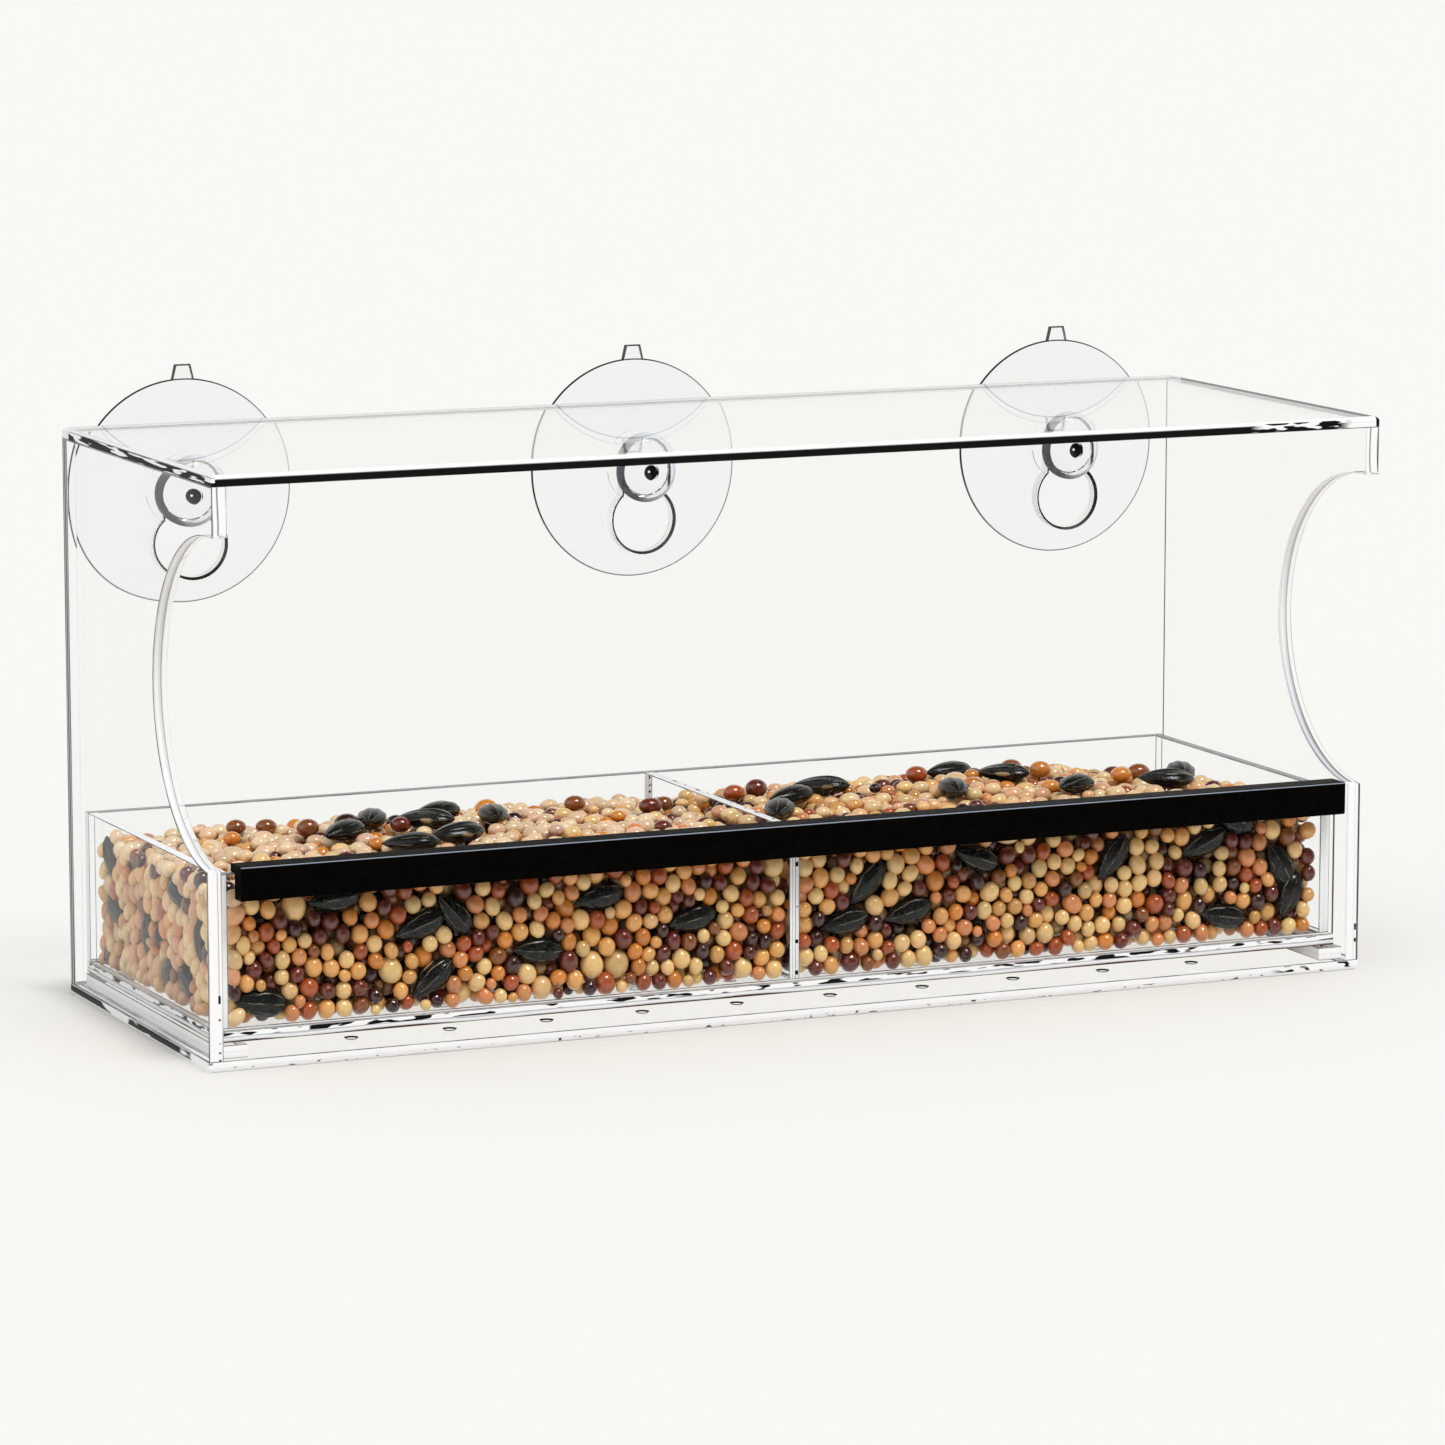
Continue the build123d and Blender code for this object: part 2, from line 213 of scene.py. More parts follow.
def clear_sheet(name, tint, ior=face_ior):
    """Polished acrylic, with the faint waves and rubbed patches of a real sheet."""
    paint = Paint(name)
    rubbed = paint.spread(paint.noise(55.0, 4.0, 0.65), 0.0, 0.01, 0.45, 0.8)
    paint.set(Base_Color=tint, Transmission_Weight=1.0, IOR=ior, Roughness=rubbed)
    paint.bump(paint.noise(9.0, 1.0), 0.04, 0.0003)
    return paint.let_lamps_through((0.97, 0.975, 0.975))


def sheet_line(name, dark, pale, clearness=0.35):
    """The softened rim between a sheet's face and its edge: a fine broken line of painted shade and
    refracted light in clear plastic.
    """
    paint = Paint(name)
    tone = paint.ramp(paint.noise(70.0, 3.0, 0.6), (0.38, dark), (0.62, pale))
    paint.set(Base_Color=tone, Transmission_Weight=clearness, IOR=edge_ior, Roughness=0.15)
    return paint.let_lamps_through((0.85, 0.85, 0.85))


class Edge(Paint):
    """A sheet's polished edge, its light, shade and reflections painted on: lines that run along it, at
    shares of its thickness.
    """

    def __init__(self, name):
        super().__init__(name)
        self.set(IOR=edge_ior, Roughness=0.12)
        self.across = self.attribute("across")
        where = self.add("TexCoord").outputs["Object"]
        self.along = self.split(where)
        self.tone = white
        self.clear = None

    def beyond(self, axis, start, fade):
        """0 before a place along an axis and 1 beyond the fade after it, which may be negative."""
        return self.spread(self.along[axis], 0.0, 1.0, start, start + fade)

    def between(self, low, high, *where):
        """1 where the share of the thickness is between low and high, times the values of where."""
        above = self.math("GREATER_THAN", self.across, low)
        return self.times(above, self.math("LESS_THAN", self.across, high), *where)

    def lines(self, *stops, waver=0.0, stretch=(60, 60, 60), where=None):
        """Lines at shares of the thickness, which waver as they run."""
        sway = self.math("SUBTRACT", self.noise(1.0, 0.5, 0.4, stretch), 0.5)
        tone = self.ramp(self.math("ADD", self.across, self.times(sway, waver)), *stops)
        self.tone = tone if where is None else self.mix(where, self.tone, tone)

    def lenses(self, low, high, stretch, least, *where):
        """Painted black and white lenses of refracted light and shade between two shares, black where the
        noise is below least.
        """
        noise = self.noise(1.0, 1.0, 0.4, stretch)
        shape = self.ramp(noise, (least, black), (least + 0.02, grey), (least + 0.045, white))
        self.tone = self.mix(self.between(low, high, *where), self.tone, shape)

    def dashes(self, low, high, stretch, least):
        """Small painted dark dashes between two shares of the thickness, where the noise is above least."""
        flaws = self.spread(self.noise(1.0, 1.0, 0.4, stretch), 0.0, 1.0, least, least + 0.03)
        self.tone = self.mix(self.between(low, high, flaws), self.tone, black)

    def clear_beyond(self, share, where):
        """The edge is three quarters clear above a share of the thickness, where where is 1."""
        self.clear = self.times(self.math("GREATER_THAN", self.across, share), where)

    def done(self):
        """The material, with its tone and its clear part."""
        self.set(Base_Color=self.tone)
        if self.clear:
            self.set(Alpha=self.spread(self.clear, 1.0, 0.25))
        return self.let_lamps_through((0.93, 0.93, 0.93))


def soft_plastic(name, tint):
    """Clear soft plastic, a little bluish and less flat than the sheets."""
    paint = Paint(name)
    cloud = paint.spread(paint.noise(120.0, 3.0, 0.6), 0.0, 0.03, 0.4, 0.8)
    paint.set(Base_Color=tint, Transmission_Weight=1.0, IOR=1.4, Roughness=cloud)
    paint.set(Specular_Tint=(0.5, 0.5, 0.5))
    paint.bump(paint.noise(60.0), 0.05, 0.0003)
    return paint.let_lamps_through((0.94, 0.95, 0.96))


def plastic_band(name, low, high, clearness):
    """Soft plastic where it turns over: painted light and shade, lines from low to high by the stored
    shade.
    """
    paint = Paint(name)
    cloud = paint.times(paint.math("SUBTRACT", paint.noise(160.0, 3.0, 0.6), 0.5), 0.35)
    shade = paint.math("ADD", paint.attribute("shade"), cloud)
    half = tuple((a + b) / 2 for a, b in zip(low, high))
    tone = paint.ramp(shade, (0.2, low), (0.55, half), (0.8, high))
    paint.set(Base_Color=tone, Transmission_Weight=clearness, IOR=edge_ior, Roughness=0.15)
    return paint.let_lamps_through((0.9, 0.9, 0.92))


def black_rubber(name):
    """The strip's satin black rubber: fine lines along its length, and a blue-grey painted highlight along
    its upper front corner.
    """
    paint = Paint(name)
    lines = paint.noise(1500.0, 3.0, 0.6, (0.04, 1, 1))
    dust = paint.noise(420.0, 4.0, 0.7)
    tone = paint.ramp(dust, (0.4, (0.0018, 0.0016, 0.001)), (0.75, (0.0034, 0.0031, 0.0024)))
    # Painted highlight: where the surface faces up and forward it turns blue-grey, in place of the sky's
    # reflection; the variable rubbed carries it
    facing = paint.add("NewGeometry").outputs["Normal"]
    upper_front = (0, -math.sqrt(0.5), math.sqrt(0.5))
    corner = paint.add("VectorMath", {0: facing, 1: upper_front}, operation="DOT_PRODUCT")
    rubbed = paint.spread(corner.outputs["Value"], 0.0, 1.0, 0.95, 0.99)
    rubbed = paint.mix(rubbed, tone, (0.28, 0.32, 0.39))
    paint.set(Base_Color=rubbed, IOR=1.04, Roughness=paint.spread(lines, 0.30, 0.46))
    paint.bump(lines, 0.12, 0.00008)
    return paint.material


# Meshes

def arc(middle, radius, start, end):
    """Points on a circle from one angle to another, fine enough for clear plastic."""
    count = max(2, math.ceil(abs(end - start) / arc_step))
    turns = np.linspace(start, end, count + 1)
    return [(middle[0] + radius * math.cos(t), middle[1] + radius * math.sin(t)) for t in turns]


def rectangle(low, high):
    """A loop round a rectangle, with its material on the left."""
    return [low, (high[0], low[1]), high, (low[0], high[1])]


def round_hole(middle, radius):
    """A loop round a hole, with its material on the left."""
    return arc(middle, radius, 2 * math.pi, 0)[:-1]


def drawn_in(loop, amount):
    """The loop moved into its material by amount."""
    points = np.array(loop)
    ahead = np.roll(points, -1, axis=0) - points
    ahead /= np.linalg.norm(ahead, axis=1)[:, None]
    behind = np.roll(ahead, 1, axis=0)
    left = np.stack([-ahead[:, 1], ahead[:, 0]], axis=1)
    left_behind = np.stack([-behind[:, 1], behind[:, 0]], axis=1)
    middle = left + left_behind
    middle /= (middle * left).sum(axis=1)[:, None]
    return points + middle * amount


AXES = {
    "X": lambda flat, height: (height, flat[0], flat[1]),
    "Y": lambda flat, height: (flat[0], height, flat[1]),
    "Z": lambda flat, height: (flat[0], flat[1], height),
}


def rounding(radius, steps):
    """(drawn in, height) for each ring of a rim, from the flat face to the edge."""
    angles = np.linspace(0, math.pi / 2, steps + 1)
    return [(radius * (1 - math.sin(a)), radius * (1 - math.cos(a))) for a in angles]


def ring(first, count):
    """The faces between the ring of vertices that starts at first and the next ring."""
    afters = [(k + 1) % count for k in range(count)]
    return [(first + k, first + after, first + count + after, first + count + k)
            for k, after in enumerate(afters)]


def slab(name, loops, axis, low, high, low_round=sheet_round, high_round=sheet_round, hole_round=None,
         dark_rim="low", bonded=None):
    """A sheet: loops are its outline and its holes, rounded at both faces.

    Material slots: 0 face, 1 low rim, 2 edge, 3 high rim, 4 dark rim of a hole, 5 the rest of a hole.
    bonded gives a test on two corners of the outline, and the slots of low rim, edge and high rim there.
    """
    place = AXES[axis]
    verts, faces, kinds, shares = [], [], [], []
    steps = 4
    caps = {0: [], 2 * steps + 1: []}
    for number, loop in enumerate(loops):
        count = len(loop)
        first = len(verts)
        bends = (hole_round, hole_round) if number and hole_round else (low_round, high_round)
        rings = [(inset, low + rise) for inset, rise in rounding(bends[0], steps)]
        rings += [(inset, high - rise) for inset, rise in reversed(rounding(bends[1], steps))]
        for index, (inset, height) in enumerate(rings):
            flat = drawn_in(loop, inset)
            verts += [place(point, height) for point in flat]
            shares += [(height - low) / (high - low)] * count
            if index in caps:
                caps[index].append([Vector((x, y, 0)) for x, y in flat])
        for index in range(len(rings) - 1):
            level = 0 if index < steps else 1 if index == steps else 2
            if number:
                kind = 4 if level == {"low": 0, "high": 2}[dark_rim] else 5
            else:
                kind = level + 1
            faces += ring(first + index * count, count)
            for one, other in zip(loop, loop[1:] + loop[:1]):
                joined = bonded and not number and bonded[0](one, other)
                kinds.append(bonded[1][level] if joined else kind)
    ring_count = 2 * steps + 2
    starts = np.cumsum([0] + [ring_count * len(loop) for loop in loops])
    for level, outlines in caps.items():
        lookup = []
        for start, loop in zip(starts, loops):
            lookup += [start + level * len(loop) + k for k in range(len(loop))]
        for triangle in tessellate_polygon(outlines):
            faces.append(tuple(int(lookup[k]) for k in triangle))
            kinds.append(0)
    return make_mesh(name, verts, faces, kinds, across=shares)


def add_object(name, data):
    """A new object in the scene."""
    thing = bpy.data.objects.new(name, data)
    bpy.context.scene.collection.objects.link(thing)
    return thing


def store(mesh, name, kind, field, values):
    """Stores a value, a vector or a colour for each vertex."""
    numbers = np.asarray(values, np.float32).ravel()
    mesh.attributes.new(name, kind, "POINT").data.foreach_set(field, numbers)


def make_mesh(name, verts, faces, kinds=None, smooth_angle=35.0, **marks):
    """An object of a mesh: normals outward, smooth but for its corners and the rims of flat faces."""
    mesh = bpy.data.meshes.new(name)
    mesh.from_pydata([tuple(v) for v in verts], [], faces)
    if kinds is not None:
        mesh.polygons.foreach_set("material_index", kinds)
    for mark, values in marks.items():
        store(mesh, mark, "FLOAT", "value", values)
    mesh.update()
    work = bmesh_of(mesh)
    bmesh.ops.recalc_face_normals(work, faces=work.faces)
    for edge in work.edges:
        kinds_here = {face.material_index for face in edge.link_faces}
        creased = len(edge.link_faces) == 2 and edge.calc_face_angle(0) > math.radians(smooth_angle)
        face_rim = kinds is not None and 0 in kinds_here and len(kinds_here) > 1
        edge.smooth = not creased and not face_rim
    for face in work.faces:
        face.smooth = True
    work.to_mesh(mesh)
    work.free()
    return add_object(name, mesh)


def bmesh_of(mesh):
    """A bmesh of a mesh."""
    work = bmesh.new()
    work.from_mesh(mesh)
    return work


def dress(piece, *materials):
    """Gives a piece its materials."""
    for material in materials:
        piece.data.materials.append(material)
    return piece


def settle(piece, body, slot, *nodes):
    """The piece rides on a body and stands for CAD nodes, which it hides; slot is not used."""
    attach(piece, body)
    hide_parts(*nodes)
    return piece


def inner_box(node):
    """The node's box, smaller all round by the gap of a bonded joint."""
    low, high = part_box(node)
    gap = Vector((joint_gap, joint_gap, joint_gap))
    return low + gap, high - gap


# Housing

# The edges' tones, which paint the light, shade and reflections of clear plastic, and where their looks
# change along X, Y or Z
white, pale, grey, dark, black = ((v, v, v * 1.01) for v in (0.97, 0.78, 0.34, 0.08, 0.008))
# The backdrop's colour, painted where an edge would show the backdrop through it
painted_backdrop = (0.930, 0.925, 0.905)
blue_grey = (0.45, 0.47, 0.50)
plum_grey = (0.16, 0.14, 0.155)
# The brown is a painted shadow of the seeds, on the tray floor's rim and edge and in the tray's front
# corner
brown = (0.06, 0.03, 0.018)
sharp = 0.01 * MM
streak_fade = 4 * MM
far_side = 164 * MM
arch_foot = 51.6 * MM
stub_foot = 137 * MM
mark_top = 20 * MM
floor_lenses = 138 * MM
roof_lenses = 126 * MM
roof_lenses_end = 153 * MM
roof_back = 50 * MM
arch_shade_top = 90 * MM
arch_shade_fade = 30 * MM
top_face = 0.1 * MM
sheet_face = clear_sheet("acrylic_face", (0.985, 0.988, 0.988))
drain_wall = clear_sheet("acrylic_drain_wall", (0.985, 0.988, 0.988), 1.005)
floor_face = clear_sheet("acrylic_floor_face", (0.945, 0.935, 0.922), 1.01)
fine_line = sheet_line("acrylic_fine_line", dark, grey)
faint_line = sheet_line("acrylic_faint_line", pale, white, 0.6)
black_line = sheet_line("acrylic_black_line", black, dark, 0.05)
# A painted shadow of the seeds: a brown line along the tray floor's lower rim and in the tray's front
# corner
seed_shadow_line = sheet_line("acrylic_brown_line", brown, (0.20, 0.12, 0.08), 0.05)
keyhole_wall = sheet_line("acrylic_keyhole_wall", pale, white, 0.7)


def corner_shade(name, width, tone):
    """A dark line at one side of an end that is else clear."""
    paint = Paint(name)
    broken = paint.ramp(paint.noise(1.0, stretch=(60, 60, 60)), (0.3, tone), (0.8, grey))
    line = paint.math("LESS_THAN", paint.attribute("across"), width)
    paint.set(Base_Color=broken, IOR=edge_ior, Roughness=0.2, Alpha=line)
    return paint.let_lamps_through((0.97, 0.97, 0.97))


def plain_edge(name, dark_above=None):
    """White, with a grey line at both sides and a pale one in the middle; dark above a height: painted
    refracted light and shade.
    """
    edge = Edge(name)
    edge.lines((0.0, grey), (0.07, white), (0.46, white), (0.50, pale), (0.54, white), (0.92, white),
               (1.0, grey), waver=0.10)
    if dark_above:
        edge.lines((0.0, plum_grey), (0.5, grey), (1.0, plum_grey), waver=0.6, stretch=(80, 80, 80),
                   where=edge.beyond("Z", dark_above, sharp))
    return edge.done()


def divider_edge_look():
    """The divider's front edge: painted dark lines of refracted shade that waver, and dashes."""
    edge = Edge("acrylic_divider_edge")
    edge.lines((0.0, plum_grey), (0.06, white), (0.24, white), (0.30, blue_grey), (0.36, white),
               (0.52, white), (0.58, plum_grey), (0.64, white), (0.90, pale), (1.0, plum_grey),
               waver=0.16, stretch=(60, 60, 90))
    edge.dashes(0.56, 0.86, (260, 260, 700), 0.60)
    return edge.done()


def floor_edge_look():
    """White with small dashes in front, and large lenses along the left side and near the right end:
    painted refracted light and shade.
    """
    edge = Edge("acrylic_floor_edge")
    edge.lines((0.0, dark), (0.06, grey), (0.12, white), (0.40, white), (0.44, pale), (0.48, white),
               (0.94, white), (1.0, dark), waver=0.06)
    edge.dashes(0.14, 0.42, (380, 380, 1100), 0.64)
    edge.lenses(0.34, 0.90, (230, 60, 600), 0.385, edge.beyond("X", floor_lenses, streak_fade))
    left = edge.beyond("X", -far_side, -sharp)
    edge.lines((0.0, grey), (0.12, white), (0.90, white), (1.0, grey), where=left)
    edge.lenses(0.26, 0.88, (1, 70, 300), 0.50, left)
    return edge.done()


def roof_edge_look():
    """Black in front and white near the right end, with lenses before that and along the left side: painted
    reflections and shade.

    The right side is plum and black, and the back is pale.
    """
    edge = Edge("acrylic_roof_edge")
    edge.lines((0.0, dark), (0.05, black), (0.60, black), (0.66, grey), (0.72, white), (0.80, white),
               (0.88, painted_backdrop), (1.0, painted_backdrop), waver=0.02, stretch=(20, 20, 20))
    edge.lenses(0.06, 0.80, (190, 32, 900), 0.50, edge.beyond("X", roof_lenses, streak_fade))
    edge.lines((0.0, grey), (0.08, white), (0.48, white), (0.54, pale), (0.60, white), (0.80, white),
               (1.0, painted_backdrop), where=edge.beyond("X", roof_lenses_end, streak_fade))
    edge.lines((0.0, plum_grey), (0.3, black), (0.8, black), (1.0, plum_grey), waver=0.3,
               stretch=(30, 30, 30), where=edge.beyond("X", far_side, sharp))
    left = edge.beyond("X", -far_side, -sharp)
    edge.lines((0.0, black), (0.70, black), (0.78, grey), (0.84, white), (1.0, pale), where=left)
    edge.lenses(0.04, 0.74, (1, 75, 900), 0.54, left)
    edge.lines((0.0, pale), (0.30, painted_backdrop), (1.0, painted_backdrop), where=edge.beyond("Y", roof_back, sharp))
    return edge.done()


def arch_edge_look():
    """A side's edge, with painted refracted light and shade: small dark marks near the floor, outlined
    round the arch, streaked on the stub.

    Round the arch the far third of the thickness is mostly clear, and the edge looks narrower there.
    """
    edge = Edge("acrylic_arch_edge")
    upright, right = (30, 60, 30), edge.beyond("X", 0.0, sharp)
    edge.lines((0.0, dark), (0.05, grey), (0.10, white), (0.66, white), (0.71, grey), (0.76, white),
               (0.90, white), (0.94, dark), (1.0, dark), waver=0.10, stretch=upright)
    edge.lines((0.0, grey), (0.05, pale), (0.10, white), (0.55, white), (0.60, pale), (0.66, white),
               (0.80, white), (0.85, dark), (0.96, dark), (1.0, pale), waver=0.03, stretch=upright,
               where=right)
    edge.lenses(0.66, 0.82, (24, 24, 520), 0.36, edge.beyond("Z", mark_top, -sharp))
    arch = edge.beyond("Z", arch_foot, sharp)
    edge.lines((0.0, grey), (0.06, pale), (0.28, white), (0.40, pale), (0.50, pale), (0.57, grey),
               (0.62, pale), (0.66, painted_backdrop), (1.0, painted_backdrop), waver=0.14, stretch=upright, where=arch)
    # Painted shade: the arch's lower right is darker and bluish
    low_right = edge.times(right, arch, edge.beyond("Z", arch_shade_top, -arch_shade_fade))
    edge.lines((0.0, plum_grey), (0.08, dark), (0.15, blue_grey), (0.30, pale), (0.44, blue_grey),
               (0.55, grey), (0.62, dark), (0.70, painted_backdrop), (1.0, painted_backdrop), waver=0.14, stretch=upright,
               where=low_right)
    edge.lines((0.0, dark), (0.08, white), (0.30, white), (0.36, dark), (0.46, white), (0.90, white),
               (0.94, dark), (1.0, dark), waver=0.35, stretch=(30, 30, 60),
               where=edge.beyond("Z", stub_foot, sharp))
    edge.clear_beyond(0.66, edge.times(arch, edge.beyond("Z", stub_foot, -sharp)))
    return edge.done()


def post_edge_look():
    """The back's left edge: painted dark lines of refracted shade that waver."""
    edge = Edge("acrylic_post_edge")
    edge.lines((0.0, dark), (0.20, plum_grey), (0.28, grey), (0.36, pale), (0.44, plum_grey),
               (0.62, dark), (0.68, grey), (0.76, pale), (0.84, dark), (1.0, dark),
               waver=0.5, stretch=(40, 40, 26))
    return edge.done()


def tray_floor_edge_look():
    """The tray floor's edge: a painted brown shadow line below, and painted black and white streaks of
    refracted light above.
    """
    edge = Edge("acrylic_tray_floor_edge")
    edge.lines((0.0, brown), (0.08, brown), (0.16, pale), (0.34, white), (0.46, blue_grey), (0.56, pale),
               (0.70, white), (0.80, grey), (0.88, white), (1.0, grey), waver=0.35, stretch=(45, 45, 45))
    edge.lenses(0.52, 0.92, (170, 170, 900), 0.44)
    return edge.done()


white_edge = plain_edge("acrylic_white_edge")
divider_edge = divider_edge_look()
wall_edge = plain_edge("acrylic_wall_edge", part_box("tray_back_wall")[1].z - top_face)
corner_dark = corner_shade("acrylic_dark_corner", 0.14, dark)
# A painted shadow of the seeds, as a brown line in the tray's front corner
corner_seed_shadow = corner_shade("acrylic_brown_corner", 0.40, brown)
floor_edge = floor_edge_look()
roof_edge = roof_edge_look()
arch_edge = arch_edge_look()
post_edge = post_edge_look()
tray_floor_edge = tray_floor_edge_look()


def dress_sheet(piece, edge, low_line=None, high_line=None, hole_line=None, hole_wall=None):
    """A sheet's materials, in the order of a slab's slots."""
    low_line, high_line = low_line or fine_line, high_line or low_line or fine_line
    return dress(piece, sheet_face, low_line, edge, high_line, hole_line or fine_line, hole_wall or edge)


def drain_holes(node):
    """The loops of two rows of drain holes in a floor."""
    low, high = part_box(node)
    middle = (low + high) / 2
    row = (high.y - low.y) / 2 - drain_inset
    side_room = {"floor_panel": 25.5 * MM, "tray_floor": 17.5 * MM}[node]
    pairs = int(((high.x - low.x) / 2 - side_room) / drain_pitch)
    places = [(k + 0.5 - pairs) * drain_pitch for k in range(2 * pairs)]
    return [round_hole((x, middle.y + side * row), drain_radius) for x in places for side in (-1, 1)]


def floor_sheet():
    """The housing's floor, rounded along its underside."""
    low, high = inner_box("floor_panel")
    loops = [rectangle((low.x, low.y), (high.x, high.y))] + drain_holes("floor_panel")
    piece = slab("floor_sheet", loops, "Z", low.z, high.z, outer_round, sheet_round, drain_round, "high")
    return dress(piece, floor_face, floor_edge, floor_edge, fine_line, black_line, drain_wall)


def roof_sheet():
    """The roof, rounded along its top."""
    low, high = inner_box("roof_panel")
    loops = [rectangle((low.x, low.y), (high.x, high.y))]
    piece = slab("roof_sheet", loops, "Z", low.z, high.z, sheet_round, outer_round)
    return dress_sheet(piece, roof_edge, black_line, roof_edge)


def keyhole(place, cup_height):
    """A keyhole's loop: a round entry below and a narrow slot above."""
    entry_height = cup_height - keyhole_drop
    half_turn = math.acos(slot_radius / entry_radius)
    entry = arc((place, entry_height), entry_radius, math.pi - half_turn, 2 * math.pi + half_turn)
    slot = arc((place, cup_height), slot_radius, 0, math.pi)
    return (entry + slot)[::-1]


cup_middles = {side: (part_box(f"suction_cup_{side}")[0].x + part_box(f"suction_cup_{side}")[1].x) / 2
               for side in ("left", "middle", "right")}
disc_radius = (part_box("suction_cup_left")[1].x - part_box("suction_cup_left")[0].x) / 2
cup_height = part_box("suction_cup_left")[0].z + disc_radius


def clear_right_end(end, slots=(0, 0, 0)):
    """The right end of a sheet that is seen from within: clear, for a slab."""
    return lambda one, other: min(one[0], other[0]) > end - sharp, slots


def back_sheet():
    """The back with its three keyholes."""
    low, high = inner_box("back_panel")
    loops = [rectangle((low.x, low.z), (high.x, high.z))]
    loops += [keyhole(middle, cup_height) for middle in cup_middles.values()]
    bonded = clear_right_end(high.x)
    piece = slab("back_sheet", loops, "Y", low.y, high.y, hole_round=keyhole_round, bonded=bonded)
    return dress_sheet(piece, post_edge, faint_line, faint_line, black_line, keyhole_wall)


def bonded_end(side, end):
    """A side's bonded back end, for a slab: clear, on the right with a dark line at its inner corner."""
    return clear_right_end(end, (0, 0, 3) if side == "left" else (4, 5, 0))


def side_sheet(side):
    """A side with its half-round opening to the front and the stub above it."""
    low, high = inner_box(f"{side}_side_panel")
    floor_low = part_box("floor_panel")[0]
    front = floor_low.y + joint_gap
    middle = (floor_low.y - cutout_setout, high.z + joint_gap - stub_height - cutout_radius)
    below = -math.asin(math.sqrt(1 - ((front - middle[0]) / cutout_radius) ** 2))
    curve = arc(middle, cutout_radius, below, math.pi / 2)
    stub = (low.y, middle[1] + cutout_radius)
    loop = curve + [stub, (low.y, high.z), (high.y, high.z), (high.y, low.z), (front, low.z)]
    bonded = bonded_end(side, high.y)
    piece = slab(f"{side}_side_sheet", [loop[::-1]], "X", low.x, high.x, bonded=bonded)
    lines = (fine_line, faint_line) if side == "left" else (faint_line, fine_line)
    return dress_sheet(piece, arch_edge, *lines, black_line, corner_dark)


settle(floor_sheet(), "housing", "clear_sheet", "floor_panel")
settle(roof_sheet(), "housing", "clear_sheet", "roof_panel")
settle(back_sheet(), "housing", "clear_sheet", "back_panel")
for side in ("left", "right"):
    settle(side_sheet(side), "housing", "clear_sheet", f"{side}_side_panel")


def plain_sheet(node, name, axis, edge, bonded=None, corner_line=None, corner_end=None):
    """A rectangular sheet, thin along axis; bonded is a slab's test and slots of a clear end."""
    low, high = inner_box(node)
    flat = {"X": ("y", "z"), "Y": ("x", "z"), "Z": ("x", "y")}[axis]
    corners = [tuple(getattr(end, f) for f in flat) for end in (low, high)]
    ends = [getattr(end, axis.lower()) for end in (low, high)]
    piece = slab(name, [rectangle(*corners)], axis, *ends, bonded=bonded)
    return dress_sheet(piece, edge, hole_line=corner_line, hole_wall=corner_end)


for side in ("left", "right"):
    piece = plain_sheet(f"{side}_runner", f"{side}_runner_bar", "Z", white_edge)
    settle(piece, "housing", "clear_sheet", f"{side}_runner")


# Tray

def tray_floor_sheet():
    """The tray's floor with its drain holes."""
    low, high = inner_box("tray_floor")
    loops = [rectangle((low.x, low.y), (high.x, high.y))] + drain_holes("tray_floor")
    piece = slab("tray_floor_sheet", loops, "Z", low.z, high.z)
    return dress_sheet(piece, tray_floor_edge, seed_shadow_line, faint_line, black_line, keyhole_wall)


settle(tray_floor_sheet(), "tray", "tray_sheet", "tray_floor")
tray_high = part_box("tray_floor")[1]
right_end = tray_high.x - joint_gap
side_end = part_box("tray_left_wall")[1].y - joint_gap
# Walls of the tray: axis, edge, bonded end, line and face at its corner
walls = {
    "front_wall": ("Y", wall_edge, clear_right_end(right_end, (4, 5, 0)), seed_shadow_line, corner_seed_shadow),
    "back_wall": ("Y", wall_edge, clear_right_end(right_end), None, None),
    "left_wall": ("X", white_edge, bonded_end("left", side_end), None, None),
    "right_wall": ("X", wall_edge, bonded_end("right", side_end), black_line, corner_dark),
    "divider": ("X", divider_edge, None, None, None),
}
for wall, looks in walls.items():
    piece = plain_sheet(f"tray_{wall}", f"tray_{wall}_sheet", *looks)
    settle(piece, "tray", "tray_sheet", f"tray_{wall}")


def perch_rubber():
    """The strip on the rim: a thick pad in front with a cap over it, rounded at the front."""
    low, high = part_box("perch_strip")
    wall_low, wall_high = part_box("tray_front_wall")
    front_round, end_round, foot_gap = 0.7 * MM, 0.18 * MM, joint_gap
    profile = arc((low.y + front_round, low.z + front_round), front_round, 1.5 * math.pi, math.pi)
    profile += arc((low.y + front_round, high.z - front_round), front_round, math.pi, 0.5 * math.pi)
    profile += arc((high.y - front_round, high.z - front_round), front_round, 0.5 * math.pi, 0)
    profile += [(high.y, wall_high.z + foot_gap), (wall_low.y - foot_gap, wall_high.z + foot_gap)]
    profile += [(wall_low.y - foot_gap, low.z)]
    piece = slab("perch_rubber", [profile[::-1]], "X", low.x, high.x, end_round, end_round)
    return dress(piece, *[rubber] * 4)


rubber = black_rubber("satin_black_rubber")
settle(perch_rubber(), "tray", "black_rubber", "perch_strip")


# Suction cups

